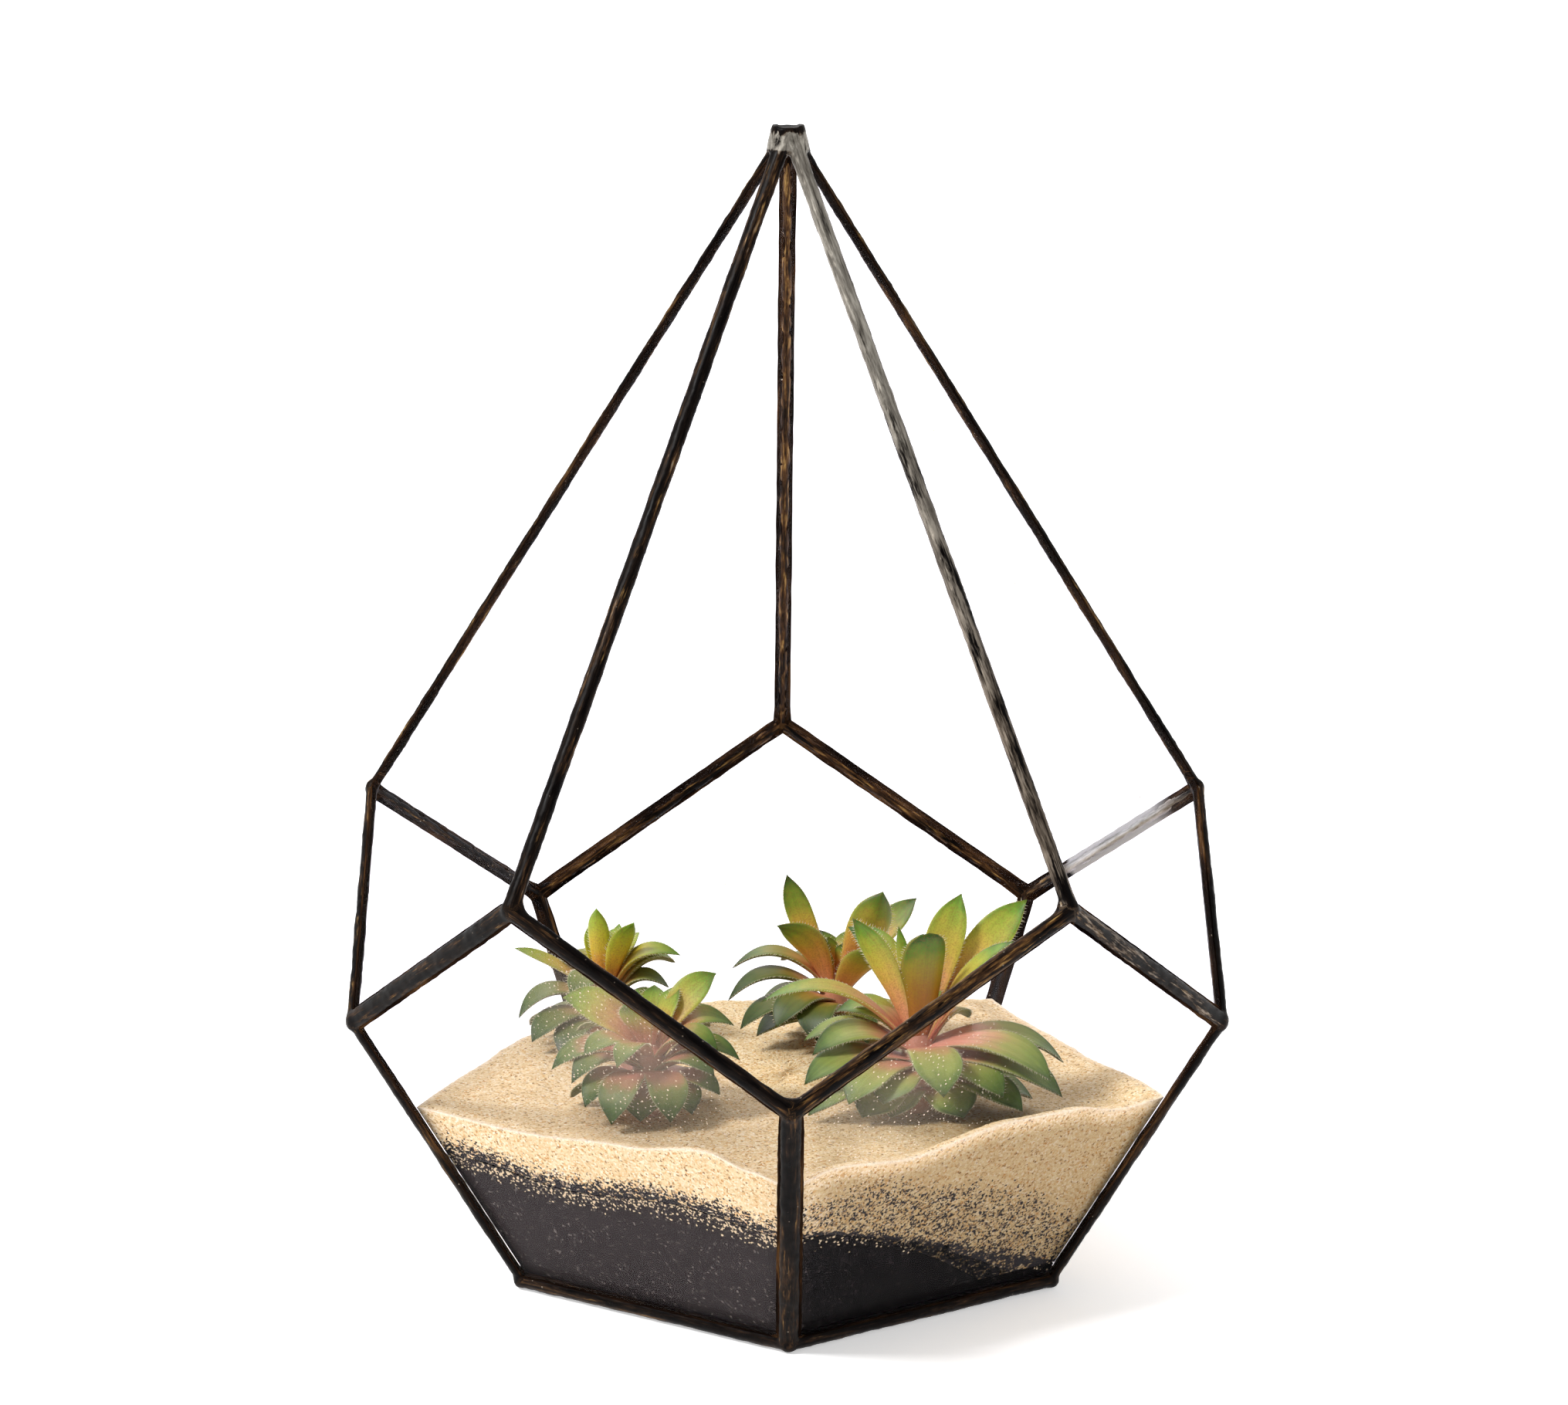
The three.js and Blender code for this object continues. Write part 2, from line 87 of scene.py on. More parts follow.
bpy.ops.object.select_all(action="DESELECT")
bpy.ops.object.camera_add()
camera = bpy.context.object
camera.name = "camera"
camera.data.sensor_fit = "HORIZONTAL"
camera.data.sensor_width = 36
camera.data.lens = FOCAL_LENGTH
camera.data.clip_end = 100
camera.matrix_world = (
    Matrix.Rotation(CAMERA_TURN, 4, "Z")
    @ Matrix.Translation(LOOK_AT)
    @ Matrix.Rotation(math.pi / 2 - CAMERA_RISE, 4, "X")
    @ Matrix.Rotation(CAMERA_TILT, 4, "Z")
    @ Matrix.Translation((0, 0, CAMERA_DISTANCE))
)
bpy.context.scene.camera = camera
print("camera at", [round(v, 3) for v in camera.matrix_world.translation])

# %% [markdown]
# ## The corners of the glasshouse
#
# Everything follows from three rings of five corners and the apex. The side panes and the upper
# panes are flat, which fixes the height of the waist corners and of the apex. These are the same
# driving sizes as the CAD part has.

# %% Work out the corners
BASE_EDGE = 80 * MM
FOOT = 2.4 * MM  # height of the base seams' centres
SHOULDER_RADIUS = 108.7 * MM
SHOULDER_RISE = 110.4 * MM
WAIST_RADIUS = 109.5 * MM
GLASS = 2 * MM
COS36 = math.cos(math.radians(36))
FOOT_RADIUS = BASE_EDGE / (2 * math.sin(math.radians(36)))
FOOT_INRADIUS = FOOT_RADIUS * COS36
SIDE_SLOPE = SHOULDER_RISE / (SHOULDER_RADIUS - FOOT_INRADIUS)
WAIST_RISE = SIDE_SLOPE * (WAIST_RADIUS * COS36 - FOOT_INRADIUS)
KITE_SLOPE = (SHOULDER_RISE - WAIST_RISE) / (WAIST_RADIUS - SHOULDER_RADIUS * COS36)
APEX_RISE = SHOULDER_RISE + KITE_SLOPE * SHOULDER_RADIUS * COS36


def on_ring(radius, rise, azimuth):
    """A point on a ring; azimuth 0 faces the front, and it grows towards +X."""
    a = math.radians(azimuth)
    return Vector((radius * math.sin(a), -radius * math.cos(a), FOOT + rise))


foot = [on_ring(FOOT_RADIUS, 0, 72 * i) for i in range(5)]
waist = [on_ring(WAIST_RADIUS, WAIST_RISE, 72 * i) for i in range(5)]
shoulder = [on_ring(SHOULDER_RADIUS, SHOULDER_RISE, 72 * i + 36) for i in range(5)]
apex = on_ring(0, APEX_RISE, 0)
print("apex height", round(apex.z, 4), "waist height", round(waist[0].z, 4))

# %% [markdown]
# ## Helpers for modelling
#
# An operator acts on everything that is selected, so each step starts from a clear selection.
# Faces are picked in code by their place or the way they face, as one would pick them by eye, and
# a modifier is added and applied in one go.

# %% Selection, joining and modifiers
def start_fresh():
    """Leaves nothing selected, so that the next operator acts on the next piece alone."""
    if bpy.context.mode != "OBJECT":
        bpy.ops.object.mode_set(mode="OBJECT")
    bpy.ops.object.select_all(action="DESELECT")


def work_on(piece):
    """Selects one piece and makes it the active one."""
    start_fresh()
    piece.select_set(True)
    bpy.context.view_layer.objects.active = piece


def select_faces(test):
    """In edit mode, selects the faces that pass a test and nothing else."""
    bpy.ops.mesh.select_mode(type="FACE")
    bpy.ops.mesh.select_all(action="DESELECT")
    mesh = bmesh.from_edit_mesh(bpy.context.object.data)
    for face in mesh.faces:
        face.select_set(test(face))
    bmesh.update_edit_mesh(bpy.context.object.data)


def join(pieces, name):
    """Joins pieces into one, whose own frame is the part's frame."""
    start_fresh()
    for piece in pieces:
        piece.select_set(True)
    bpy.context.view_layer.objects.active = pieces[0]
    bpy.ops.object.join()
    bpy.ops.object.transform_apply(location=True, rotation=True, scale=True)
    joined = bpy.context.object
    joined.name = name
    return joined


def apply_modifier(piece, kind, **settings):
    """Adds one modifier with its settings, and applies it."""
    work_on(piece)
    modifier = piece.modifiers.new(kind.title(), kind)
    for key, value in settings.items():
        setattr(modifier, key, value)
    bpy.ops.object.modifier_apply(modifier=modifier.name)


def count_triangles(piece):
    return sum(len(face.vertices) - 2 for face in piece.data.polygons)


# %% [markdown]
# ## The solder: beads along every edge
#
# A solder bead is molten metal that froze as it was drawn along a seam, so it is round across,
# a little flatter than it is wide, and never quite even. One could sweep a curve along each edge,
# but the beads run together at the corners. So each bead starts as a cylinder at its edge and each
# corner as a ball, and a voxel remesh later melts them into one skin, as the solder does.

# %% Lay one bead
BEAD_TRIM = 1.2 * MM  # the beads stop short of the corner, inside its joint
HEART = Vector((0, 0, 105 * MM))  # beads lie flat as seen from here


def lie_flat(centre, along):
    """The turn that lays a bead at a place: across the seam, outward from the heart, and along."""
    across = along.cross(centre - HEART).normalized()
    outward = across.cross(along).normalized()
    return Matrix((across, outward, along)).transposed().to_4x4()


def lay_bead(start, end, half_width, half_depth, trim=BEAD_TRIM, inward=0):
    """A flattened bar along one edge, or a little inside it."""
    middle = (start + end) / 2
    middle += lie_flat(middle, (end - start).normalized()).col[1].xyz * -inward
    start_fresh()
    bpy.ops.mesh.primitive_cylinder_add(
        vertices=24, radius=1, depth=(end - start).length - 2 * trim)
    bead = bpy.context.object
    bead.matrix_world = (Matrix.Translation(middle)
                         @ lie_flat(middle, (end - start).normalized())
                         @ Matrix.Diagonal((half_width, half_depth, 1, 1)))
    return bead


# %% Lay all the beads, and remember how worn each one is
# Each kind of seam, in turn from the front one: half its width and half its depth in mm, then how
# much bare silver and how much copper brown show on it
BASE_SEAMS = [(2.2, 2.0, 0.0, 0.2)] * 5
RISERS = [(2.6, 1.35, 0.1, 0.35)] + [(2.2, 1.35, 0.1, 0.35)] * 4
BELT_RIGHT = [(2.0, 1.7, 0.1, 0.85), (2.3, 1.35, 0.1, 0.4), (1.75, 1.35, 0.1, 0.85),
              (1.35, 1.35, 0.1, 0.5), (2.4, 1.35, 0.2, 0.45)]
BELT_LEFT = [(1.95, 1.7, 0.0, 0.35), (2.1, 1.35, 0.55, 0.5), (1.65, 1.35, 1.5, 0.8),
             (1.75, 1.35, 0.1, 0.75), (2.0, 1.35, 0.15, 0.5)]
TO_APEX = [(2.1, 1.7, 1.1, 0.3), (1.75, 1.3, 0.3, 0.6), (1.5, 1.3, 0.1, 1.15),
           (1.75, 1.3, 0.2, 0.6), (2.1, 1.7, 0.3, 0.45)]

seams = []  # each one: start, end, half width, half depth, silver, copper
for i in range(5):
    runs = [(foot[i], foot[(i + 1) % 5], BASE_SEAMS), (foot[i], waist[i], RISERS),
            (waist[i], shoulder[i], BELT_RIGHT), (shoulder[i - 1], waist[i], BELT_LEFT),
            (shoulder[i], apex, TO_APEX)]
    for start, end, kind in runs:
        half_width, half_depth, silver, copper = kind[i]
        seams.append((start, end, half_width * MM, half_depth * MM, silver, copper))

beads = [lay_bead(*seam[:4]) for seam in seams]
# A narrower bead fills the inside of each angle between two panes
INNER_SHARE = 0.55
INNER_DEPTH = 0.75 * MM
INNER_SET_BACK = 0.8 * MM
beads += [lay_bead(start, end, INNER_SHARE * half_width, INNER_DEPTH, inward=INNER_SET_BACK)
          for start, end, half_width, *_ in seams]
print(len(beads), "beads")

# %% [markdown]
# ## The solder: joints and the knob
#
# At each corner the solder pooled into a flat joint, as wide as the bars that meet there. At the
# mouth's corners it also crept along the inside of the angle, so a short bead is laid across the
# angle. The knob at the apex was filled up, then cut flat. Its top sank in a little as it cooled,
# and its rim stands higher at the left and the right.

# %% Pool the solder at the corners
FOOT_JOINT = (2.4 * MM, 2.2 * MM)  # half the width, half the depth
BELT_JOINT = (2.45 * MM, 1.65 * MM)
WEB = (1.6 * MM, 1.45 * MM)
WEB_REACH = 3.4 * MM
MOUTH = [waist[0], shoulder[0], apex, shoulder[4]]


def add_joint(corner, half_width, half_depth):
    start_fresh()
    bpy.ops.mesh.primitive_uv_sphere_add(segments=16, ring_count=10, radius=1)
    joint = bpy.context.object
    joint.matrix_world = (Matrix.Translation(corner) @ lie_flat(corner, Vector((0, 0, 1)))
                          @ Matrix.Diagonal((half_width, half_depth, half_width, 1)))
    return joint


joints = [add_joint(corner, *FOOT_JOINT) for corner in foot]
joints += [add_joint(corner, *BELT_JOINT) for corner in waist + shoulder]
for k in (0, 1, 3):
    corner = MOUTH[k]
    ends = [corner + (MOUTH[(k + step) % 4] - corner).normalized() * WEB_REACH for step in (1, 3)]
    joints.append(lay_bead(*ends, *WEB, trim=0))

# %% Fill the knob and cut it flat
KNOB_FOOT = 276.0 * MM
KNOB_TOP = 282.4 * MM
KNOB_RADIUS = 5.3 * MM
KNOB_TOP_RADIUS = 3.9 * MM
RIM_WIDTH = 1.1 * MM
SUNK = 0.7 * MM
RIM_EXTRA = 0.45 * MM
start_fresh()
bpy.ops.mesh.primitive_cone_add(
    vertices=12, radius1=KNOB_RADIUS, radius2=KNOB_TOP_RADIUS, depth=KNOB_TOP - KNOB_FOOT,
    location=(0, 0, (KNOB_FOOT + KNOB_TOP) / 2))
knob = bpy.context.object
bpy.ops.object.mode_set(mode="EDIT")
select_faces(lambda face: face.normal.z > 0.9)
bpy.ops.mesh.inset(thickness=RIM_WIDTH)
bpy.ops.transform.translate(value=(0, 0, -SUNK))
bpy.ops.object.mode_set(mode="OBJECT")
for vertex in knob.data.vertices:
    if vertex.co.z > 2 * MM and abs(vertex.co.x) > 3 * MM:
        vertex.co.z += RIM_EXTRA
print("knob", [round(v * 1000, 1) for v in knob.dimensions], "mm")

# %% [markdown]
# ## The solder: one skin
#
# Small voxels keep the beads crisp but make many faces. The smoothing afterwards rounds the inside
# corners, and the displacements give the long swells and the small lumps of solder drawn by hand.
# Then the faces are thinned, which takes them from the smooth stretches and leaves the lumps.

# %% Melt the beads together
VOXEL = 0.52 * MM
KEPT_FACES = 0.43
solder = join(beads + joints + [knob], "solder_frame")
apply_modifier(solder, "REMESH", mode="VOXEL", voxel_size=VOXEL, use_smooth_shade=True)
apply_modifier(solder, "SMOOTH", factor=0.5, iterations=9)

for name, size, strength in (("swells", 7 * MM, 0.4 * MM), ("lumps", 1.8 * MM, 0.22 * MM)):
    lumps = bpy.data.textures.new("solder_" + name, "CLOUDS")
    lumps.noise_scale = size
    apply_modifier(solder, "DISPLACE", texture=lumps, texture_coords="LOCAL",
                   strength=strength, mid_level=0.5)
apply_modifier(solder, "DECIMATE", ratio=KEPT_FACES)
print("solder skin", count_triangles(solder), "triangles")

# %% [markdown]
# ## The copper foil
#
# The foil is a tape folded over the pane's edge, and a fraction of a millimetre of it shows beside
# the bead as a thin ledge. It is made as one would cut it: the pane's outline is inset by the
# tape's width, the middle is cut away, and the rim that is left is thickened to wrap the glass.
# The tape was trimmed by hand, so its edge wanders, and it is narrower on the inside.

# %% Fold the foil round each pane
FOIL_WIDTH = 2.3 * MM  # before it is trimmed
FOIL_LEDGE = 0.3 * MM  # what shows beside the bead
FOIL_WANDER = 0.2 * MM
FOIL_INSIDE = 0.62  # on the inside the tape is this share as wide
FOIL_PROUD = 0.05 * MM
FOIL_CUTS = 40


def fold_foil(corners):
    """A flat rim round one pane, with its long sides cut into short steps."""
    start_fresh()
    bpy.ops.mesh.primitive_circle_add(vertices=len(corners), fill_type="NGON")
    rim = bpy.context.object
    for vertex, corner in zip(rim.data.vertices, corners):
        vertex.co = corner
    bpy.ops.object.mode_set(mode="EDIT")
    bpy.ops.mesh.select_all(action="SELECT")
    bpy.ops.mesh.inset(thickness=FOIL_WIDTH)
    bpy.ops.mesh.delete(type="FACE")
    bpy.ops.mesh.select_mode(type="EDGE")
    bpy.ops.mesh.select_all(action="DESELECT")
    mesh = bmesh.from_edit_mesh(rim.data)
    for edge in mesh.edges:
        edge.select_set(edge.calc_length() > 5 * FOIL_WIDTH)
    bmesh.update_edit_mesh(rim.data)
    bpy.ops.mesh.subdivide(number_cuts=FOIL_CUTS)
    bpy.ops.object.mode_set(mode="OBJECT")
    return rim


def bead_beside(a, b):
    """Half the width of the bead along one side of a pane."""
    return next(seam[2] for seam in seams if {tuple(seam[0]), tuple(seam[1])} == {tuple(a), tuple(b)})


def offsets_from(sides, place):
    """From each side of a pane, straight to a place."""
    return [(place - a) - (place - a).project(b - a) for a, b in sides]


def trim_foil(rim, corners):
    """Moves the tape's inner edge to just past each bead."""
    sides = list(zip(corners, corners[1:] + corners[:1]))
    widths = [bead_beside(a, b) + FOIL_LEDGE for a, b in sides]
    for vertex in rim.data.vertices:
        offsets = offsets_from(sides, vertex.co)
        away = [offset.length for offset in offsets]
        if min(away) > FOIL_WIDTH / 2:
            near = away.index(min(away))
            pulls = [1 / d ** 2 for d in away]
            wanted = sum(pull * width for pull, width in zip(pulls, widths)) / sum(pulls)
            wanted += FOIL_WANDER * noise.noise(vertex.co / (2.5 * MM))
            vertex.co += offsets[near].normalized() * (wanted - away[near])


def narrow_inside(rim, corners):
    """Draws the tape's inner edge back on the side that faces the plants."""
    facing = (corners[1] - corners[0]).cross(corners[2] - corners[0])
    facing *= math.copysign(1, facing.dot(HEART - corners[0]))
    sides = list(zip(corners, corners[1:] + corners[:1]))
    for vertex in rim.data.vertices:
        near = min(offsets_from(sides, vertex.co), key=lambda offset: offset.length)
        if near.length > FOIL_WIDTH / 2 and (vertex.co - corners[0]).dot(facing) > 0:
            vertex.co -= near * (1 - FOIL_INSIDE)


pane_corners = [foot[::-1]]
pane_corners += [[foot[i], foot[(i + 1) % 5], waist[(i + 1) % 5], shoulder[i], waist[i]]
                 for i in range(5)]
pane_corners += [[waist[i], shoulder[i], apex, shoulder[i - 1]] for i in range(1, 5)]
foils = []
for corners in pane_corners:
    foil = fold_foil(corners)
    trim_foil(foil, corners)
    apply_modifier(foil, "SOLIDIFY", thickness=GLASS + 2 * FOIL_PROUD, offset=0)
    narrow_inside(foil, corners)
    foils.append(foil)
foil = join(foils, "foil")
print(len(foils), "foil rims,", count_triangles(foil), "triangles")

# %% [markdown]
# ## The solder: keep it in its box, and mark its wear
#
# The foot of the frame stands flat on the table, so nothing goes below it or past the CAD box.
# The patina is not even. One bar by the mouth has worn to bare silver, one at the back to a pale
# tin, others to copper brown, and the silver ones are darker at their ends. The wear could be
# painted by hand, but it follows the bars, so each vertex takes it from the nearest ones, as two
# attributes. A third gives its place squeezed along the bar, which draws a pattern out into
# streaks. The material reads all three.

# %% Trim the frame to its box
for vertex in foil.data.vertices:
    if vertex.co.z > KNOB_FOOT:  # no tape shows at the knob: the solder covers it
        vertex.co = (0, 0, KNOB_FOOT)
solder_points = len(solder.data.vertices)  # the foil's vertices come after these
solder_skin = join([solder, foil], "solder_frame")
points = np.array([v.co for v in solder_skin.data.vertices])
points = np.clip(points, np.array(cad_low), np.array(cad_high))
solder_skin.data.vertices.foreach_set("co", points.ravel())
solder_skin.data.update()
print("solder frame", count_triangles(solder_skin), "triangles")

# %% Store the wear, and how the solder was drawn
DRAWN_OUT = 0.1  # a streak is this much narrower than it is long
SILVER_BAR, PALE_BAR = 4, 13  # their places in the list of seams
# Darker ends: the bar, its end (0 or 1), how far along that reaches, and how much silver it loses
DARK_ENDS = [(SILVER_BAR, 0, 0.75, 0.32), (PALE_BAR, 0, 0.35, 0.5), (PALE_BAR, 1, 0.3, 1.3)]
KNOB_WEAR = (1.12, 0.35)
KNOB_TOP_WEAR = (0.0, 0.3)


def store(mesh, name, values, kind="FLOAT", field="value"):
    """Keeps one value for each vertex as an attribute."""
    mesh.attributes.new(name, kind, "POINT").data.foreach_set(field, np.ravel(values))


starts = np.array([seam[0] for seam in seams])
spans = np.array([seam[1] for seam in seams]) - starts
shares = np.array([seam[4:6] for seam in seams])
weights = np.zeros((len(points), len(seams)))
lost = np.zeros((len(points), len(seams)))
for k in range(len(seams)):
    t = ((points - starts[k]) @ spans[k] / (spans[k] @ spans[k])).clip(0, 1)
    away = np.linalg.norm(points - starts[k] - t[:, None] * spans[k], axis=1)
    weights[:, k] = np.exp(-(away / (2 * MM)) ** 2)
    for bar, end, span, loss in DARK_ENDS:
        if bar == k:
            lost[:, k] += loss * (1 - np.abs(t - end) / span).clip(0, 1) ** 0.7
weights /= weights.sum(axis=1, keepdims=True).clip(1e-9)
wear = weights @ shares
wear[:, 0] -= (weights * lost).sum(axis=1)
wear[points[:, 2] > KNOB_FOOT + 0.5 * MM] = KNOB_WEAR
wear[points[:, 2] > KNOB_TOP - 1.4 * MM] = KNOB_TOP_WEAR
store(solder_skin.data, "silver_wear", wear[:, 0])
store(solder_skin.data, "copper_wear", wear[:, 1])

ways = (spans / np.linalg.norm(spans, axis=1, keepdims=True))[weights.argmax(axis=1)]
lengthwise = (points * ways).sum(axis=1, keepdims=True) * ways
store(solder_skin.data, "drawn_place", points - (1 - DRAWN_OUT) * lengthwise, "FLOAT_VECTOR",
      "vector")
print("wear from", wear.min(axis=0).round(2), "to", wear.max(axis=0).round(2))

# %% [markdown]
# ## Helpers for materials
#
# Colours are written as they are read from a colour picker, in sRGB hex, and one function turns
# them to the linear values that shaders use. A second function adds a node with its settings and
# its links, whatever the node is, so that a material reads from top to bottom.

# %% Colours and nodes
def colour(code):
    """An sRGB hex colour as a linear one."""
    parts = [int(code[k:k + 2], 16) / 255 for k in (1, 3, 5)]
    return [c / 12.92 if c <= 0.04045 else ((c + 0.055) / 1.055) ** 2.4 for c in parts] + [1.0]


def start_material(name):
    """An empty material, and its node tree."""
    made = bpy.data.materials.new(name)
    made.use_nodes = True
    made.node_tree.nodes.clear()
    return made, made.node_tree


def add_node(tree, kind, inputs=(), stops=(), **settings):
    """One node with its settings and its links.

    Inputs are a list, in the order that the node shows its sockets, or a dict by their names. Each
    is a number, a hex colour, a socket, or a node, whose first output is taken. Stops are the
    colours of a ramp.
    """
    node = tree.nodes.new("ShaderNode" + kind)
    for key, value in settings.items():
        setattr(node, key, value)
    shown = [socket for socket in node.inputs if socket.enabled]
    for key, value in inputs.items() if isinstance(inputs, dict) else enumerate(inputs):
        socket = node.inputs[key] if isinstance(key, str) else shown[key]
        if isinstance(value, bpy.types.Node):
            value = next(output for output in value.outputs if output.enabled)
        if isinstance(value, bpy.types.NodeSocket):
            tree.links.new(value, socket)
        else:
            socket.default_value = colour(value) if isinstance(value, str) else value
    for k, (position, code) in enumerate(stops):
        ramp = node.color_ramp.elements
        stop = ramp[k] if k < len(ramp) else ramp.new(position)
        stop.position = position
        stop.color = colour(code)
    return node


def dress(piece, *finishes):
    """Gives a piece its finishes in place of any that it had; all its faces take the first."""
    piece.data.materials.clear()
    for finish in finishes:
        piece.data.materials.append(finish)


print("linear mid grey", [round(c, 3) for c in colour("#808080")])

# %% [markdown]
# ## Black patina on tinned solder
#
# Solder is a tin alloy, silvery when clean. The patina is a thin dark sulphide or oxide film that
# hides it: near black, satin, and warmer where copper shows through. It was wiped on along the
# seams, so its streaks run lengthwise, and it wears off in patches and specks. So the film is a
# dark Principled surface with little metal, the worn places are a rough metal, and noise drawn out
# along each bar chooses between them. Where a bar has worn a little, the tin is grey with tarnish;
# where it has worn more, the tin is clean, and on the palest bar it is almost white.

# %% Make the patina
patina, tree = start_material("solder_black_patina")
place = add_node(tree, "TexCoord").outputs["Object"]
drawn = add_node(tree, "Attribute", attribute_name="drawn_place").outputs["Vector"]
silver_share = add_node(tree, "Attribute", attribute_name="silver_wear").outputs["Fac"]
copper_share = add_node(tree, "Attribute", attribute_name="copper_wear").outputs["Fac"]
patches = add_node(tree, "TexNoise", {"Vector": drawn, "Scale": 1 / (3 * MM), "Detail": 5,
                                      "Roughness": 0.6})
streaks = add_node(tree, "TexNoise", {"Vector": drawn, "Scale": 1 / (0.9 * MM), "Detail": 3,
                                      "Roughness": 0.7})
fine = add_node(tree, "TexNoise", {"Vector": drawn, "Scale": 1 / (0.7 * MM), "Detail": 4,
                                   "Roughness": 0.65})
both = add_node(tree, "Mix", [0.5, patches, streaks])

# The film, and the copper brown that shows where the noise is above an edge that copper lowers
film = add_node(tree, "ValToRGB", [both],
                [(0.42, "#060404"), (0.51, "#130D0A"), (0.58, "#2C1F16"), (0.68, "#5C452E")])
copper_tone = add_node(tree, "ValToRGB", [fine],
                       [(0.38, "#1C120B"), (0.5, "#4A321E"), (0.58, "#74532E"), (0.68, "#BC9658")])
warm_edge = add_node(tree, "Math", [copper_share, -0.24, 0.66], operation="MULTIPLY_ADD")
warm_past = add_node(tree, "Math", [both, warm_edge], operation="SUBTRACT")
warm_mask = add_node(tree, "MapRange", [warm_past, -0.02, 0.08, 0, 0.85])
warm_film = add_node(tree, "Mix", [warm_mask, film, copper_tone], data_type="RGBA")

# Bare metal in patches, found the same way, and in small specks
worn_edge = add_node(tree, "Math", [silver_share, -0.3, 0.72], operation="MULTIPLY_ADD")
worn_past = add_node(tree, "Math", [both, worn_edge], operation="SUBTRACT")
silver_mask = add_node(tree, "MapRange", [worn_past, -0.03, 0.05, 0, 0.9])
specks = add_node(tree, "TexVoronoi", {"Vector": place, "Scale": 1 / (2.2 * MM)})
picked = add_node(tree, "SeparateColor", [specks.outputs["Color"]])
speck_size = add_node(tree, "MapRange", [picked, 0.55, 1, 0, 0.12])
speck_mask = add_node(tree, "Math", [specks, speck_size], operation="LESS_THAN")
bare = add_node(tree, "Math", [silver_mask, speck_mask], operation="MAXIMUM")

# Its colour: grey tin, clean tin or white tin
grey_tin, clean_tin, white_tin = [
    add_node(tree, "ValToRGB", [streaks], zip((0.34, 0.5, 0.66), tones))
    for tones in (("#3A322B", "#62574C", "#94887A"), ("#6A645B", "#948E84", "#C2BCB0"),
                  ("#9A9A94", "#BEC0BC", "#DEE0DE"))]
cleaner = add_node(tree, "MapRange", [silver_share, 0.85, 1.05, 0, 1])
whiter = add_node(tree, "MapRange", [silver_share, 1.15, 1.3, 0, 1])
tinned = add_node(tree, "Mix", [cleaner, grey_tin, clean_tin], data_type="RGBA")
tinned = add_node(tree, "Mix", [whiter, tinned, white_tin], data_type="RGBA")
bead_colour = add_node(tree, "Mix", [bare, warm_film, tinned], data_type="RGBA")

metal = add_node(tree, "MapRange", [bare, 0, 1, 0.05, 0.7])
roughness = add_node(tree, "MapRange", [streaks, 0.3, 0.7, 0.26, 0.5])
dents = add_node(tree, "Bump", {"Height": fine, "Strength": 0.16, "Distance": 0.15 * MM})
surface = add_node(tree, "BsdfPrincipled", {
    "Base Color": bead_colour, "Metallic": metal, "Roughness": roughness,
    "Specular IOR Level": 0.06, "Normal": dents})
add_node(tree, "OutputMaterial", [surface])
print("patina has", len(tree.nodes), "nodes")

# %% [markdown]
# ## Dark copper foil
#
# The ledge of tape beside the bead took the patina but no solder, so it is flat, dull and dark, with
# a brown cast where the copper shows. A shiny finish would turn it grey at a slant, so it has no
# gloss at all. Beside the palest bar the tape is bright too.

# %% Make the foil's finish, and dress the frame
tape_finish, tree = start_material("copper_foil_darkened")
drawn = add_node(tree, "Attribute", attribute_name="drawn_place").outputs["Vector"]
silver_share = add_node(tree, "Attribute", attribute_name="silver_wear").outputs["Fac"]
patches = add_node(tree, "TexNoise", {"Vector": drawn, "Scale": 1 / (3 * MM), "Detail": 5,
                                      "Roughness": 0.6})
tape_tone = add_node(tree, "ValToRGB", [patches],
                     [(0.36, "#0A0605"), (0.48, "#1A110C"), (0.57, "#2C1D13"), (0.65, "#543A22"),
                      (0.74, "#86694A")])
bright_tape = add_node(tree, "MapRange", [silver_share, 1.15, 1.3, 0, 1])
tape_colour = add_node(tree, "Mix", [bright_tape, tape_tone, "#B4B6B2"], data_type="RGBA")
surface = add_node(tree, "BsdfPrincipled", {
    "Base Color": tape_colour, "Roughness": 0.9, "Specular IOR Level": 0.0})
add_node(tree, "OutputMaterial", [surface])

dress(solder_skin, patina, tape_finish)
is_tape = [polygon.vertices[0] >= solder_points for polygon in solder_skin.data.polygons]
solder_skin.data.polygons.foreach_set("material_index", [int(tape) for tape in is_tape])
print("tape on", sum(is_tape), "faces")

# %% [markdown]
# ## Clear float glass, with its dust
#
# Float glass is 2 mm thick and nearly colourless. It shows by what it reflects, which is little
# seen straight on and more at a slant. Refraction through a flat pane shifts nothing visibly, so
# the panes are a clear film mixed with gloss, which also lets light and shadow through cleanly.
# The photograph shows hardly any reflection, so only a small share of it is kept: at its full
# strength it would grey the dark bars behind the panes. The two front panes are dusty, the left
# one most: a soft veil, and many fine specks that light from the front and from behind makes
# bright. The specks are drawn coarser than real dust, so that they show.

# %% Make the glass of one pane
SPECK_CELL = 1.0 * MM  # at most one speck in each
SPECK_SMALL, SPECK_LARGE = 0.06, 0.24  # its radius, as a share of the cell
VEIL_WISPS = 22 * MM


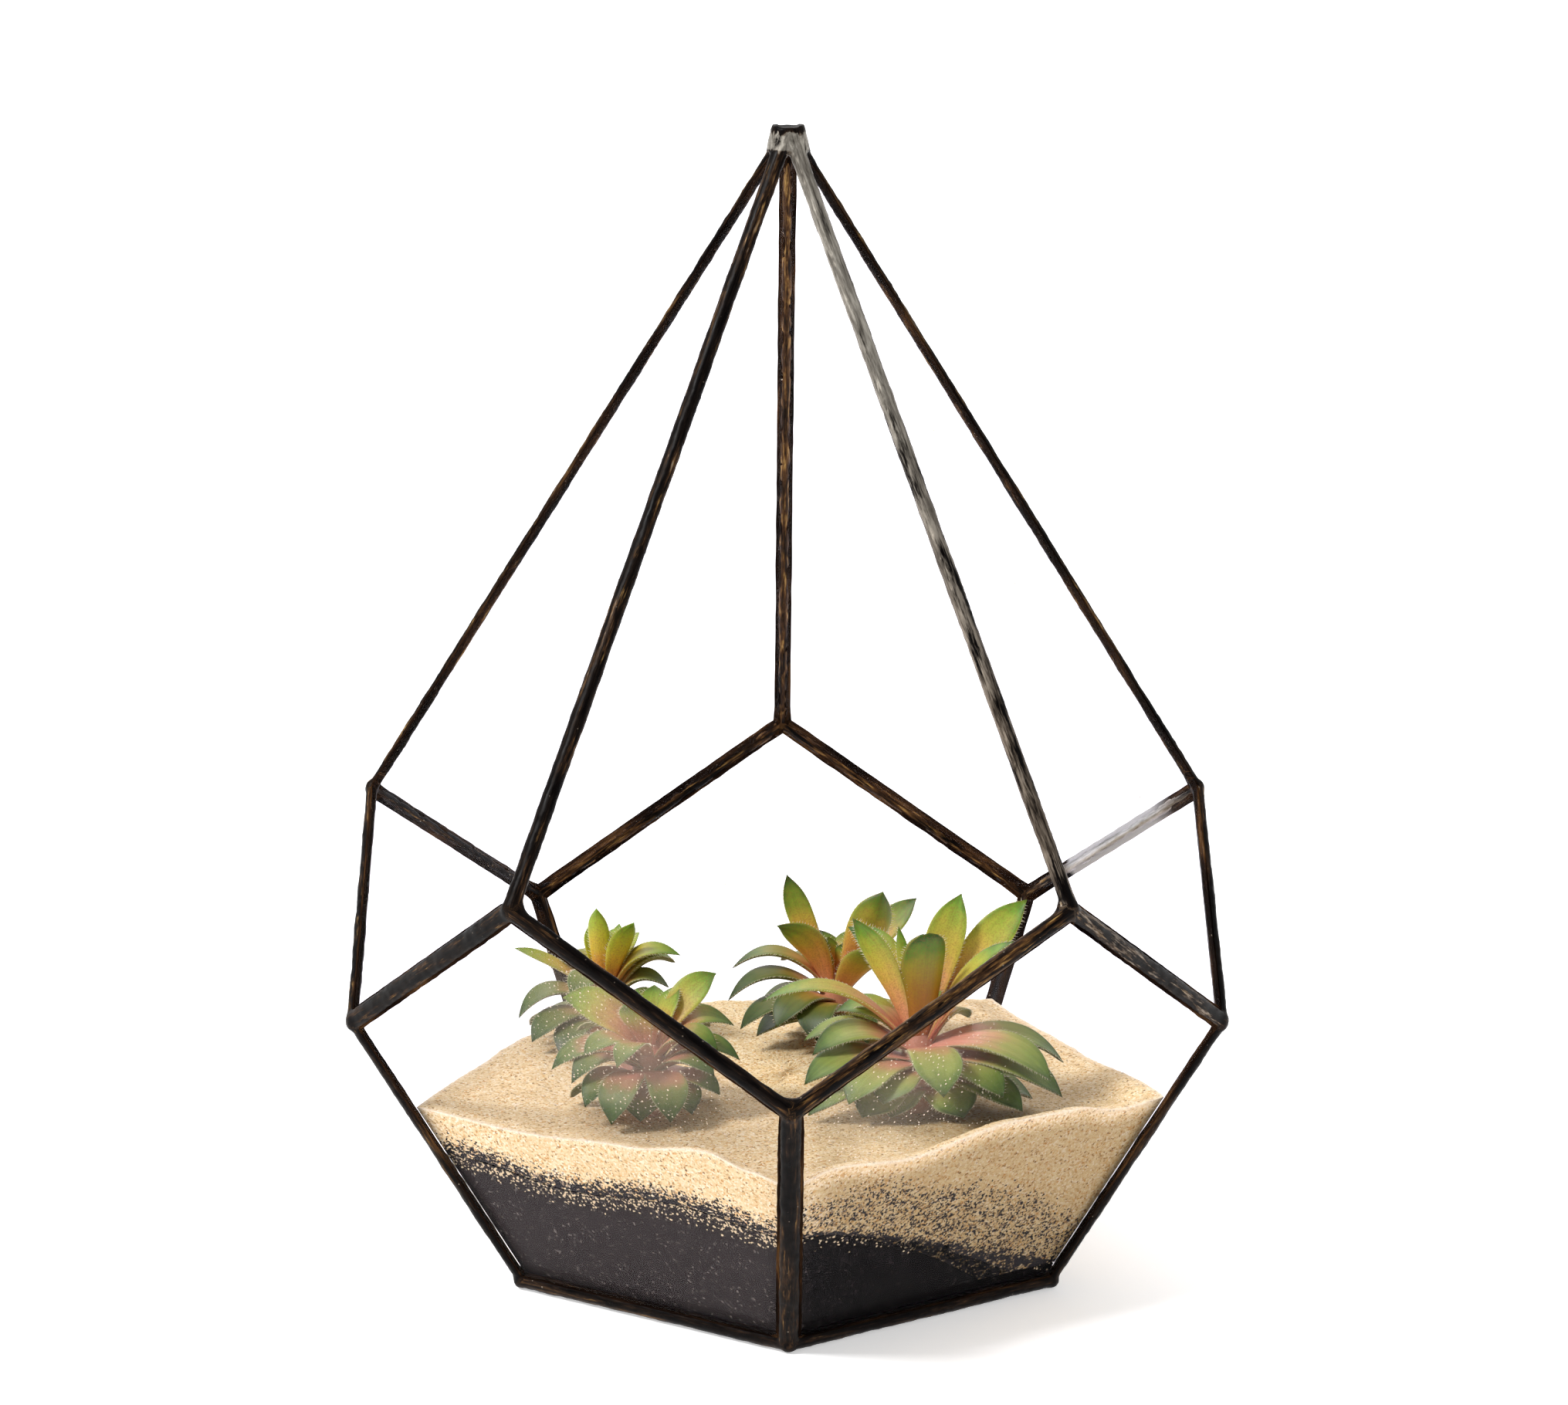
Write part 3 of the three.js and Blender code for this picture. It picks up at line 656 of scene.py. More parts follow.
def make_glass(name, gloss, veil, specks_shown, veil_centre=(0, 0, 0), veil_size=1.0):
    """Gloss is a share of the full reflection; veil is how much dust hazes the pane."""
    made, tree = start_material(name)
    place = add_node(tree, "TexCoord").outputs["Object"]
    slant = add_node(tree, "LayerWeight", {"Blend": 0.5}).outputs["Facing"]
    rise = add_node(tree, "Math", [slant, 5.0], operation="POWER")
    shine = add_node(tree, "Math", [rise, 0.96 * gloss, 0.04 * gloss], operation="MULTIPLY_ADD")
    clear = add_node(tree, "BsdfTransparent", {"Color": "#FEFDFF"})
    mirror = add_node(tree, "BsdfGlossy", {"Color": "#FFFFFF", "Roughness": 0.03})
    pane = add_node(tree, "MixShader", [shine, clear, mirror])

    away = add_node(tree, "VectorMath", [place, veil_centre], operation="DISTANCE")
    smoke = add_node(tree, "TexNoise", {"Vector": place, "Scale": 1 / VEIL_WISPS, "Detail": 3})
    fade = add_node(tree, "MapRange", [away, 0, veil_size, veil, 0.0],
                    interpolation_type="SMOOTHSTEP")
    haze = add_node(tree, "Math", [fade, smoke], operation="MULTIPLY")
    cells = add_node(tree, "TexVoronoi", {"Vector": place, "Scale": 1 / SPECK_CELL})
    picked = add_node(tree, "SeparateColor", [cells.outputs["Color"]])
    size = add_node(tree, "MapRange", [picked, 1 - specks_shown, 1, SPECK_SMALL, SPECK_LARGE])
    dot = add_node(tree, "Math", [cells, size], operation="LESS_THAN")
    near = add_node(tree, "MapRange", [away, 0.5 * veil_size, 1.2 * veil_size, 0.85, 0.0])
    dots = add_node(tree, "Math", [dot, near], operation="MULTIPLY")
    dust = add_node(tree, "Math", [haze, dots], operation="ADD", use_clamp=True)

    lit_front = add_node(tree, "BsdfDiffuse", {"Color": "#FAE6CC"})
    lit_behind = add_node(tree, "BsdfTranslucent", {"Color": "#FFEFD8"})
    powder = add_node(tree, "MixShader", [0.5, lit_front, lit_behind])
    dusty = add_node(tree, "MixShader", [dust, pane, powder])
    add_node(tree, "OutputMaterial", [dusty])
    return made


# %% Give each pane its glass
clean_glass = make_glass("float_glass_clean", 0.05, 0.0, 0.005)
front_glass = {
    "glass_side_4": make_glass("float_glass_dusty", 0.1, 0.17, 0.5,
                               (-36 * MM, -83 * MM, 84 * MM), 36 * MM),
    "glass_side_0": make_glass("float_glass_front", 0.08, 0.11, 0.4,
                               (22 * MM, -88 * MM, 64 * MM), 34 * MM)}
panes = [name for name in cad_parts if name.startswith("glass_")]
for name in panes:
    dress(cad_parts[name], front_glass.get(name, clean_glass))
print("glass on", len(panes), "panes")

# %% [markdown]
# ## The sand: where its surfaces lie
#
# The sand was poured in two layers. The beige one banks up against the glass, which is why its
# edge shows as a wavy crest, and it is nearly level in the middle. The black one waves along the
# left panes and runs out to the right. The heights repeat those of the CAD part.

# %% Heights of the sand
SAND_LEVEL = 48.2
BLACK_LEVEL = 34.5
BLACK_LOWEST = 6.4
WALL_GAP = 1.35  # from the middle of the glass to the sand
# Height of the beige sand against the glass, in mm, by azimuth from the front
DRIFT = [(0, 49), (7, 51.6), (20, 49.6), (42, 53.8), (56, 53.4), (66, 50.4), (74, 51.4),
         (104, 48.5), (140, 46.6), (180, 46.5), (220, 44.5), (250, 47.3), (288, 48.6),
         (305, 47.8), (330, 50.4), (347, 54), (354, 51), (360, 49)]


def smooth(t):
    t = min(1.0, max(0.0, t))
    return t * t * (3 - 2 * t)


def azimuth_of(x, y):
    """The angle round the glasshouse: 0 at the front, growing towards +X."""
    return math.degrees(math.atan2(x, -y)) % 360


def wall_reach(z, azimuth):
    """How far out the glass is, in mm, at a height in mm."""
    inradius = (FOOT_INRADIUS / MM + (z - FOOT / MM) / SIDE_SLOPE
                - WALL_GAP * math.hypot(1, 1 / SIDE_SLOPE))
    off = (azimuth % 72) - 36
    return inradius / math.cos(math.radians(off))


def drift_height(azimuth):
    for (low_at, low), (high_at, high) in zip(DRIFT, DRIFT[1:]):
        if azimuth <= high_at:
            return low + (high - low) * smooth((azimuth - low_at) / (high_at - low_at))
    return DRIFT[0][1]


def beige_height(x, y, out, azimuth):
    """Out is 0 in the middle and 1 at the glass."""
    middle = SAND_LEVEL + 0.6 * math.sin(x / 14 + 0.5) * math.cos(y / 19)
    return middle + (drift_height(azimuth) - middle) * smooth((out - 0.86) / 0.12)


def black_height(x):
    if x <= 0:
        return BLACK_LEVEL + 1.5 * math.sin(2 * math.pi * (-x - 14) / 52)
    dip = 1.5 * (1 - smooth(x / 12))
    return max(BLACK_LOWEST, BLACK_LEVEL - dip - 28.5 * (x / 66) ** 1.25)


print("sand at the front corner:", drift_height(0), "mm; black there:", round(black_height(0), 1))

# %% [markdown]
# ## The sand: two bodies from two balls
#
# A heap that fills a five-sided room could be cut from a block, but a cut leaves long thin faces.
# A ball already has rings and a pole at each end, so its rings are laid out instead: from the
# middle of the surface out to the glass, down the wall, and back to the middle underneath. Its
# spokes include the five corners of the room.

# %% Lay a ball out as a body of sand
SPOKES = 500  # a multiple of five, so that the corners fall on spokes


def lay_sand(name, surface_rings, wall_rings, under_rings, spokes, top, bottom, rim):
    """Top and bottom give heights in mm; rim gives the height where the top meets the glass."""
    rings = surface_rings + wall_rings + under_rings
    start_fresh()
    bpy.ops.mesh.primitive_uv_sphere_add(segments=spokes, ring_count=rings, radius=1)
    body = bpy.context.object
    body.name = name
    for vertex in body.data.vertices:
        v = vertex.co
        ring = round(math.acos(max(-1.0, min(1.0, v.z))) / math.pi * rings)
        azimuth = azimuth_of(v.x, v.y) if 0 < ring < rings else 0.0
        azimuth = 0.0 if azimuth > 359.99 else azimuth
        a = math.radians(azimuth)
        if ring <= surface_rings:
            out, height = ring / surface_rings, None
            reach = out * wall_reach(rim(azimuth), azimuth)
        elif ring < surface_rings + wall_rings:
            down = smooth((ring - surface_rings) / wall_rings) ** 0.8
            edge = wall_reach(rim(azimuth), azimuth) * math.sin(a)
            height = rim(azimuth) + (bottom(edge) - rim(azimuth)) * down
            reach = wall_reach(height, azimuth)
        else:
            out = (rings - ring) / under_rings
            low = bottom(wall_reach(20, azimuth) * math.sin(a))
            reach = out * wall_reach(low, azimuth)
            height = bottom(reach * math.sin(a))
            reach = min(reach, wall_reach(height, azimuth))
        x, y = reach * math.sin(a), -reach * math.cos(a)
        if height is None:
            height = top(x, y, out, azimuth)
        vertex.co = Vector((x, y, height)) * MM
    return body


# %% Pour the beige sand
beige = lay_sand("sand_beige_poured", 84, 26, 12, SPOKES, beige_height,
                 lambda x: max(black_height(x) + 0.3, 6.8), drift_height)
facing_up = [vertex.normal.z > 0.3 for vertex in beige.data.vertices]
random.seed(5)
for vertex, is_top in zip(beige.data.vertices, facing_up):
    level = vertex.co / MM
    swell = 0.55 * noise.noise(level / 11) + 0.25 * noise.noise(level / 3.5)
    if level.z > 44 and is_top:
        calm = 1 - smooth((math.hypot(level.x, level.y) - 74) / 6)
        vertex.co.z += (swell * calm + random.uniform(-0.09, 0.09)) * MM
beige.data.update()
work_on(beige)
bpy.ops.object.shade_smooth_by_angle(angle=math.radians(40))
print("beige sand", count_triangles(beige), "triangles")

# %% Pour the black sand
black = lay_sand("sand_black_poured", 20, 20, 12, SPOKES // 2,
                 lambda x, y, out, azimuth: black_height(x), lambda x: 3.75,
                 lambda azimuth: black_height(
                     wall_reach(28, azimuth) * math.sin(math.radians(azimuth))))
work_on(black)
bpy.ops.object.shade_smooth_by_angle(angle=math.radians(40))
print("black sand", count_triangles(black), "triangles")

# %% [markdown]
# ## Where the two sands mix
#
# Along the boundary some black grains lie among the beige ones: a band under a centimetre tall on
# the left, and a wide scatter on the right. How many of the grains are black is worked out for
# each vertex and kept as an attribute, so the material only has to compare it with a number that
# is random from grain to grain.

# %% Mark the share of black grains
# Top of the scatter on the right: x and height in mm
SCATTER_TOP = [(0, 41), (4, 43), (15, 46), (24, 45.7), (33, 41.8), (43, 39.1), (52, 36.3),
               (62, 31.1), (66, 25), (72, 20.7), (95, 10)]


def scatter_top(x):
    for (left, low), (right, high) in zip(SCATTER_TOP, SCATTER_TOP[1:]):
        if x <= right:
            return low + (high - low) * (x - left) / (right - left)
    return SCATTER_TOP[-1][1]


def black_grains(x, y, z):
    """The share of black grains at a place in the beige sand, in mm."""
    if z >= 46.5:
        return 0.0
    above = z - black_height(x)
    if x <= 0:
        return 0.95 * (1 - smooth(above / 7.5)) ** 1.3
    tall = max(1.0, scatter_top(x) - black_height(x))
    near = 0.97 * (1 - smooth((above - 0.4) / 1.9))
    wide = 0.32 * (1 - smooth((above - 0.7 * tall) / (0.35 * tall)))
    return max(near, wide)


def mark(sand, name, share):
    """Works a share out from each vertex's place in mm, and keeps it as an attribute."""
    values = [share(*(vertex.co / MM)) for vertex in sand.data.vertices]
    store(sand.data, name, values)
    print(name, "at", sum(value > 0.05 for value in values), "vertices")


mark(beige, "black_share", black_grains)

# %% [markdown]
# ## The crest's painted highlight, the painted shade on the right and the sunken grains
#
# Where the sand meets the glass it ends in a thin ridge, which a painted highlight makes almost
# white. Under the ridge on the right the sand is darker, a painted shade. A few beige grains have
# sunk into the black layer, most of them on the left. Each of these is again a share for each
# vertex, because its place is known and only its look belongs to the material.

# %% Mark the crest's painted highlight, the painted shade on the right and the sunken grains
def crest(x, y, z):
    """1 on the thin ridge where the sand meets the glass, falling to 0 beside it."""
    below = drift_height(azimuth_of(x, y)) - z
    inward = wall_reach(z, azimuth_of(x, y)) - math.hypot(x, y)
    return (1 - smooth(abs(below) / 0.9)) * (1 - smooth(inward / 1.6))


# Painted shade: a share that darkens the sand under the crest on the right
def right_painted_shade(x, y, z):
    """1 well under the crest on the right, falling to 0 just below it and towards the left."""
    return smooth(x / 12) * (1 - smooth((z + 5.5 - drift_height(azimuth_of(x, y))) / 4.5))


def sunken(x, y, z):
    """The share of beige grains in the top 5 mm of the black sand."""
    return (0.1 if x > 0 else 0.3) * (1 - smooth((black_height(x) - z) / 5))


mark(beige, "crest", crest)
mark(beige, "right_painted_shade", right_painted_shade)
mark(black, "beige_share", sunken)

# %% [markdown]
# ## Grains of sand
#
# The sand is quartz of about half a millimetre: mostly cream, with some amber, a few brown and a
# few clear grains, whose glint is painted in as a near-white colour. A Voronoi pattern gives one
# random colour per cell, so one cell is one grain, and the same cells raise each grain in the bump.
# The crest gets a painted highlight and the sand under it on the right a painted shade. The black
# sand is dyed and inky, and on the left its grains are drawn lighter grey, a painted haze of light.

# %% Make the beige quartz sand
GRAIN = 0.5 * MM
beige_grains, tree = start_material("quartz_sand_beige")
place = add_node(tree, "TexCoord").outputs["Object"]
grains = add_node(tree, "TexVoronoi", {"Vector": place, "Scale": 1 / GRAIN})
pick = add_node(tree, "SeparateColor", [grains.outputs["Color"]])
# Painted glint: the stop at 0.88 gives the clear grains a near-white colour
cream = add_node(tree, "ValToRGB", [pick],
                 [(0.0, "#7A5836"), (0.03, "#B48C58"), (0.12, "#DCBE8A"), (0.4, "#EACF9C"),
                  (0.7, "#F2DDB0"), (0.88, "#FAECD0"), (0.94, "#E6BA78"), (1.0, "#C48C4C")])
drifts = add_node(tree, "TexNoise", {"Vector": place, "Scale": 1 / (7 * MM), "Detail": 4})
duller = add_node(tree, "MapRange", [drifts, 0.4, 0.68, 0, 0.35])
sand = add_node(tree, "Mix", [duller, cream, "#DABB86"], data_type="RGBA")
# Painted highlight: the crest is mixed towards near white
crest_highlight_share = add_node(tree, "Attribute", attribute_name="crest").outputs["Fac"]
pale = add_node(tree, "Math", [crest_highlight_share, 0.6], operation="MULTIPLY")
sand = add_node(tree, "Mix", [pale, sand, "#FFF4DE"], data_type="RGBA")

# The black grains lie in flat clumps, with some grey ones among them
share = add_node(tree, "Attribute", attribute_name="black_share").outputs["Fac"]
level = add_node(tree, "VectorMath", [place, (1.0, 1.0, 2.2)], operation="MULTIPLY")
clumps = add_node(tree, "TexNoise", {"Vector": level, "Scale": 1 / (1.8 * MM), "Detail": 3})
clumpy = add_node(tree, "MapRange", [clumps, 0.38, 0.62, 0.5, 1.4])
chance = add_node(tree, "Math", [share, clumpy], operation="MULTIPLY")
seldom = add_node(tree, "Math", [chance, 0.55], operation="MULTIPLY")
is_grey = add_node(tree, "Math", [pick.outputs[2], seldom], operation="LESS_THAN")
sand = add_node(tree, "Mix", [is_grey, sand, "#A08B72"], data_type="RGBA")
# Painted shade: the sand under the crest on the right is multiplied darker
right_shade_amount = add_node(tree, "Attribute", attribute_name="right_painted_shade").outputs["Fac"]
sand = add_node(tree, "Mix", [right_shade_amount, sand, "#C9C4B6"], data_type="RGBA", blend_type="MULTIPLY")
is_black = add_node(tree, "Math", [pick.outputs[1], chance], operation="LESS_THAN")
sand = add_node(tree, "Mix", [is_black, sand, "#1E1A1B"], data_type="RGBA")
relief = add_node(tree, "Bump", {"Height": grains, "Strength": 0.17, "Distance": 0.14 * MM},
                  invert=True)
surface = add_node(tree, "BsdfPrincipled", {
    "Base Color": sand, "Roughness": 0.85, "Specular IOR Level": 0.3, "Normal": relief})
add_node(tree, "OutputMaterial", [surface])
dress(beige, beige_grains)
print("beige sand material has", len(tree.nodes), "nodes")

# %% Make the black sand
GRAIN_SHADES = (0.0, 0.6, 0.94, 1.0)
inky_grains, tree = start_material("dyed_sand_black")
place = add_node(tree, "TexCoord").outputs["Object"]
grains = add_node(tree, "TexVoronoi", {"Vector": place, "Scale": 1 / GRAIN})
pick = add_node(tree, "SeparateColor", [grains.outputs["Color"]])
ink = add_node(tree, "ValToRGB", [pick],
               zip(GRAIN_SHADES, ("#080606", "#0B0909", "#131011", "#46403F")))
# Painted haze: towards the left the black grains are drawn lighter grey, standing in for light seen
# there through the glass
left_haze_grains = add_node(tree, "ValToRGB", [pick],
                 zip(GRAIN_SHADES, ("#2B2625", "#312C2B", "#3C3635", "#6E6660")))
leftward = add_node(tree, "SeparateXYZ", [place])
left_haze_share = add_node(tree, "MapRange", [leftward, 6 * MM, -6 * MM, 0, 1])
sand = add_node(tree, "Mix", [left_haze_share, ink, left_haze_grains], data_type="RGBA")
share = add_node(tree, "Attribute", attribute_name="beige_share").outputs["Fac"]
is_beige = add_node(tree, "Math", [pick.outputs[1], share], operation="LESS_THAN")
sand = add_node(tree, "Mix", [is_beige, sand, "#D6C29C"], data_type="RGBA")
surface = add_node(tree, "BsdfPrincipled", {
    "Base Color": sand, "Roughness": 0.8, "Specular IOR Level": 0.04})
add_node(tree, "OutputMaterial", [surface])
dress(black, inky_grains)
print("grain size", GRAIN / MM, "mm")

# %% [markdown]
# ## The succulents: their leaves
#
# Each plant is a rosette of fleshy leaves that grow from one crown: short skirt leaves lie on the
# sand, longer ones arch over them, and young ones stand up. Every leaf is described by where it
# points, how far its tip is out and up, how much it arches, its width, where it starts below the
# crown, and its twist. Leaves near the sand lie almost flat. The far sides, which the photograph
# doesn't show, repeat three tiers of leaves.

# %% List the leaves
# Each plant: the place of its crown, the azimuth where its far leaves begin, and its near leaves
# as (azimuth, reach, rise, bow, width, drop, roll), in degrees and mm
ROSETTES = {
    "front_right": ((31.5, -30, 67), 118, [
        (-85, 38, 9, 9, 6.3, 3, -12), (-65, 18, 31, 2, 7, 1, 45), (-90, 5, 27, 0, 4.5, 0, 45),
        (18, 7, 27, 2, 11, 1, 0), (127, 13, 33, 1, 9.5, 0, 36), (110, 28, 31, 2, 9.5, 1, 50),
        (82, 23, 24, 4, 7, 3, 15), (-130, 22, 23, 6, 8, 1, -45), (175, 19, 20, 6, 8, 1, 0),
        (-115, 22, 3, 6, 7, 4, -30), (-80, 26, -4, 6, 9, 4, -20), (-100, 28, -3, 5, 7, 4, -20),
        (-72, 29, -10, 5, 10, 6, -15), (-67, 29, -17, 3.5, 9, 10, -10),
        (-48, 23, -13, 5, 12, 7, -10), (-47, 19, -17, 3, 12, 12, -20), (-28, 15, -17, 3, 11, 13, 0),
        (-30, 18, -13, 4, 12, 9, -10), (14, 22, -9.5, 6, 12.5, 4, 0), (38, 17, -17, 3, 12, 13, 20),
        (56, 24, -12, 4.5, 11, 8, 10), (73, 33, -9, 6, 11, 3, 14), (100, 36, -9, 6.5, 9, 3, 12),
        (80, 35, -14, 5.5, 11, 6, 15), (66, 27, -16, 3.5, 11, 10, 15),
        (96, 28, -17, 3.5, 11, 10, 10)]),
    "back_middle": ((12.5, 26, 64.5), 70, [
        (-135, 17, 25, -1, 6.5, 1, -40), (-60, 17, 17, 4, 9, 2, 40), (-95, 26, 3, 7, 6.5, 1, -6),
        (-84, 27, -4, 7, 7.5, 3, -8), (65, 13, 25, 0, 10.5, 0, -57), (110, 22, 20, 1, 7.5, 1, 40),
        (40, 20, 12, 3, 10, 3, -20), (-72, 25, -10, 5, 8, 6, -10), (-110, 21, -9, 5, 8, 6, -10),
        (-48, 20, -8, 5, 9, 4, -10), (-80, 20, -13, 3.5, 9, 9, -10), (-15, 15, -12, 3.5, 10, 9, 0),
        (-20, 18, -10, 5, 10, 6, 0), (30, 16, -12, 4, 10, 8, 0)]),
    "back_left": ((-45, 26, 64), 105, [
        (-25, 5, 21, 1, 6, 1, 0), (55, 9, 17.5, 1.5, 6.8, 1, -25), (-175, 6, 13, 0, 4.5, 0, 0),
        (155, 8, 14, 0.5, 4.5, 0, 0), (-95, 23, 9, 1.5, 5, 2, -14), (85, 19, 8, 6, 6.5, 2, 16),
        (115, 19, 4, 6, 6, 2, 12), (92, 16, -1, 5, 7, 4, 10), (60, 16, -4, 4, 8, 6, 10),
        (-25, 19, 1, 6, 8, 3, -10), (-82, 22, -8, 6, 7, 4, -15), (-60, 21, -12, 4, 9, 7, -10),
        (-35, 19, -14, 4, 9, 9, 0), (15, 18, -12, 4, 9, 8, 0)]),
    "front_left": ((-33, -33, 64.5), 118, [
        (-25, 21, -13.5, 6, 10, 6, 0), (15, 20, -13, 6, 10, 6, 0), (-8, 15, -14, 4, 10, 10, 0),
        (-50, 20, -11, 5, 8.5, 7, -10), (-62, 21, -6, 6, 8, 5, -15), (-20, 22, 1, 5, 6.5, 2, 0),
        (-78, 24, -4, 6, 7.5, 4, -20), (-48, 21, 2, 5, 7.5, 2, -10), (-95, 21, 12, 4, 9, 2, -48),
        (-38, 10, 13, 2, 7, 0, 27), (110, 17, 17, 3, 8, 1, 45), (-88, 3, 15, 0, 5, 0, 35),
        (105, 21, 4, 7, 8, 3, 20), (60, 19, 2, 6, 7.5, 3, 20), (80, 22, -2, 6, 7, 5, 15),
        (55, 19, -4, 5, 7.5, 6, 10), (40, 16, -13, 4, 10, 9, 0), (70, 18, -10, 4, 8, 9, 10)]),
}
# Each tier of far leaves: how many, then reach, rise, bow, width and drop
TIERS = [(3, 9, 13, 2, 7.5, 1), (5, 19, 2, 6, 9, 3), (6, 20, -14, 4, 10.5, 9)]
FAR_TO = 250  # the azimuth where the far leaves end
UNEVEN = 4  # how much a far leaf strays in mm; twice that in degrees
BLUNT = (18, 7)  # the azimuth and reach of the one leaf whose tip is round
RIPE_TONE = -0.2  # that leaf is riper than the others, so it is browner


def far_leaves(back_from, chance):
    """Three tiers of leaves on the side away from the camera, a little uneven."""
    leaves = []
    for row, (count, reach, rise, bow, width, drop) in enumerate(TIERS):
        for k in range(count):
            along = (k + (row + 1) / 4) / count
            strays = [UNEVEN * (chance.random() - 0.5) for _ in range(3)]
            leaves.append((back_from + (FAR_TO - back_from) * along + 2 * strays[0],
                           reach + strays[1], rise + strays[2], bow, width, drop, 0))
    return leaves


print({name: len(leaves) for name, (_, _, leaves) in ROSETTES.items()}, "near leaves")

# %% [markdown]
# ## One leaf to copy
#
# A leaf is a flattened, pointed body: hollowed a little above, keeled below, narrow at the root
# and widest past the middle. A ball has the same closed skin with a pole at each end, so the
# pattern leaf starts as a ball with one pole at the root and one at the tip. For each vertex it
# keeps how far along it is, how far across, and how far up, and every leaf is bent from that.

# %% Shape the pattern leaf
LEAF_RINGS = 26
LEAF_SIDES = 20
start_fresh()
bpy.ops.mesh.primitive_uv_sphere_add(segments=LEAF_SIDES, ring_count=LEAF_RINGS, radius=1)
pattern = bpy.context.object
ball = np.array([v.co for v in pattern.data.vertices])
pattern_faces = [tuple(face.vertices) for face in pattern.data.polygons]
bpy.data.objects.remove(pattern)

along = np.arccos(ball[:, 2].clip(-1, 1)) / np.pi  # 0 at the root, 1 at the tip
turn = np.arctan2(ball[:, 1], ball[:, 0])
across = np.cos(turn)
upward = np.sin(turn)
at_pole = (along < 1e-4) | (along > 1 - 1e-4)
across[at_pole] = upward[at_pole] = 0
print("pattern leaf:", len(ball), "vertices,", len(pattern_faces), "faces")

# %% Bend the pattern into one leaf
TIP_LOWEST = 49.8  # in mm: a tip rests on the sand, and doesn't go into it


def blade_width(t, root, blunt):
    """Width along the leaf as a share of its widest: narrow at the root, then out, then a tip."""
    body = root + (1 - root) * np.sin(np.pi / 2 * (t / 0.62).clip(0, 1))
    if blunt:
        x = ((t - 0.62) / 0.38).clip(0, 1)
        return body * np.sqrt(1 - x ** 2.8) * (1 - 0.2 * x ** 8)
    x = ((t - 0.6) / 0.4).clip(0, 1)
    return body * (1 - x ** 2.2) * (1 - 0.45 * x ** 6)


def uprightness(rise):
    """0 for a leaf that lies down, 1 for one that stands."""
    return smooth((rise + 6) / 22)


def bend_leaf(crown, leaf, sway):
    """The pattern's vertices bent along one leaf's arch, in mm; also across and ahead at each."""
    azimuth, reach, rise, bow, width, drop, roll = leaf
    a = math.radians(azimuth)
    out = np.array([math.sin(a), -math.cos(a), 0.0])
    side = np.array([math.cos(a), math.sin(a), 0.0])
    up = np.array([0.0, 0.0, 1.0])

    # The midrib is a smooth arch from the root to the tip, in the upright plane of out and up
    root = np.array([1.5, -drop])
    tip = np.array([reach, max(rise, TIP_LOWEST - crown[2])])
    chord = tip - root
    over = np.array([-chord[1], chord[0]]) / np.linalg.norm(chord) * 2 * bow
    middle = root + 0.62 * chord + over
    t = along[:, None]
    centre = (1 - t) ** 2 * root + 2 * t * (1 - t) * middle + t ** 2 * tip
    heading = 2 * (1 - t) * (middle - root) + 2 * t * (tip - middle)
    heading /= np.linalg.norm(heading, axis=1, keepdims=True)

    # The blade turns about the midrib from its root to its middle
    twist = np.radians(roll) * (along / 0.5).clip(0, 1)[:, None]
    normal = -heading[:, 1:] * out + heading[:, :1] * up
    wide = side * np.cos(twist) + normal * np.sin(twist)
    face = normal * np.cos(twist) - side * np.sin(twist)

    # Across, it is thick in the middle, keeled below and hollowed above, more so towards the tip
    root_width = 0.62 - 0.2 * uprightness(rise)
    half = width / 2 * blade_width(along, root_width, (azimuth, reach) == BLUNT)
    thick = width * (0.24 - 0.12 * along) * np.sqrt(np.sin(np.pi * along.clip(0, 1)).clip(0, 1))
    cup = 0.12 + 0.6 * along
    below = thick * (0.82 + 0.18 * (1 - np.abs(across)))
    lift = np.where(upward < 0, upward * below, upward * 0.42 * thick)
    lift += thick * cup * (across ** 2 - 0.75)
    bend = sway * np.sin(np.pi * along)
    points = (np.array(crown) + centre[:, :1] * out + centre[:, 1:] * up
              + wide * (half * across + bend)[:, None] + face * lift[:, None])
    return points, wide, heading[:, :1] * out + heading[:, 1:] * up


# %% [markdown]
# ## The fine hairs
#
# Along the leaf's edges stand fine pale hairs, about a millimetre long. There are thousands of
# them, so each is only a three-sided spike. They are drawn a little thicker than real, to show.

# %% Shape one hair, and set hairs along a leaf
HAIR_LENGTH = 1.0
HAIR_RADIUS = 0.08
HAIR_SPACING = 0.75
HAIRS_FROM, HAIRS_TO = 0.25, 0.97  # shares of the leaf's length
HAIR_LEAN = 0.55  # how much a hair leans towards the tip

start_fresh()
bpy.ops.mesh.primitive_cone_add(vertices=3, radius1=1, radius2=0, depth=1, end_fill_type="NOTHING",
                                location=(0, 0, 0.5))
bpy.ops.object.transform_apply(location=True, rotation=True, scale=True)
spike = np.array([v.co for v in bpy.context.object.data.vertices])
spike_faces = [tuple(face.vertices) for face in bpy.context.object.data.polygons]
bpy.data.objects.remove(bpy.context.object)


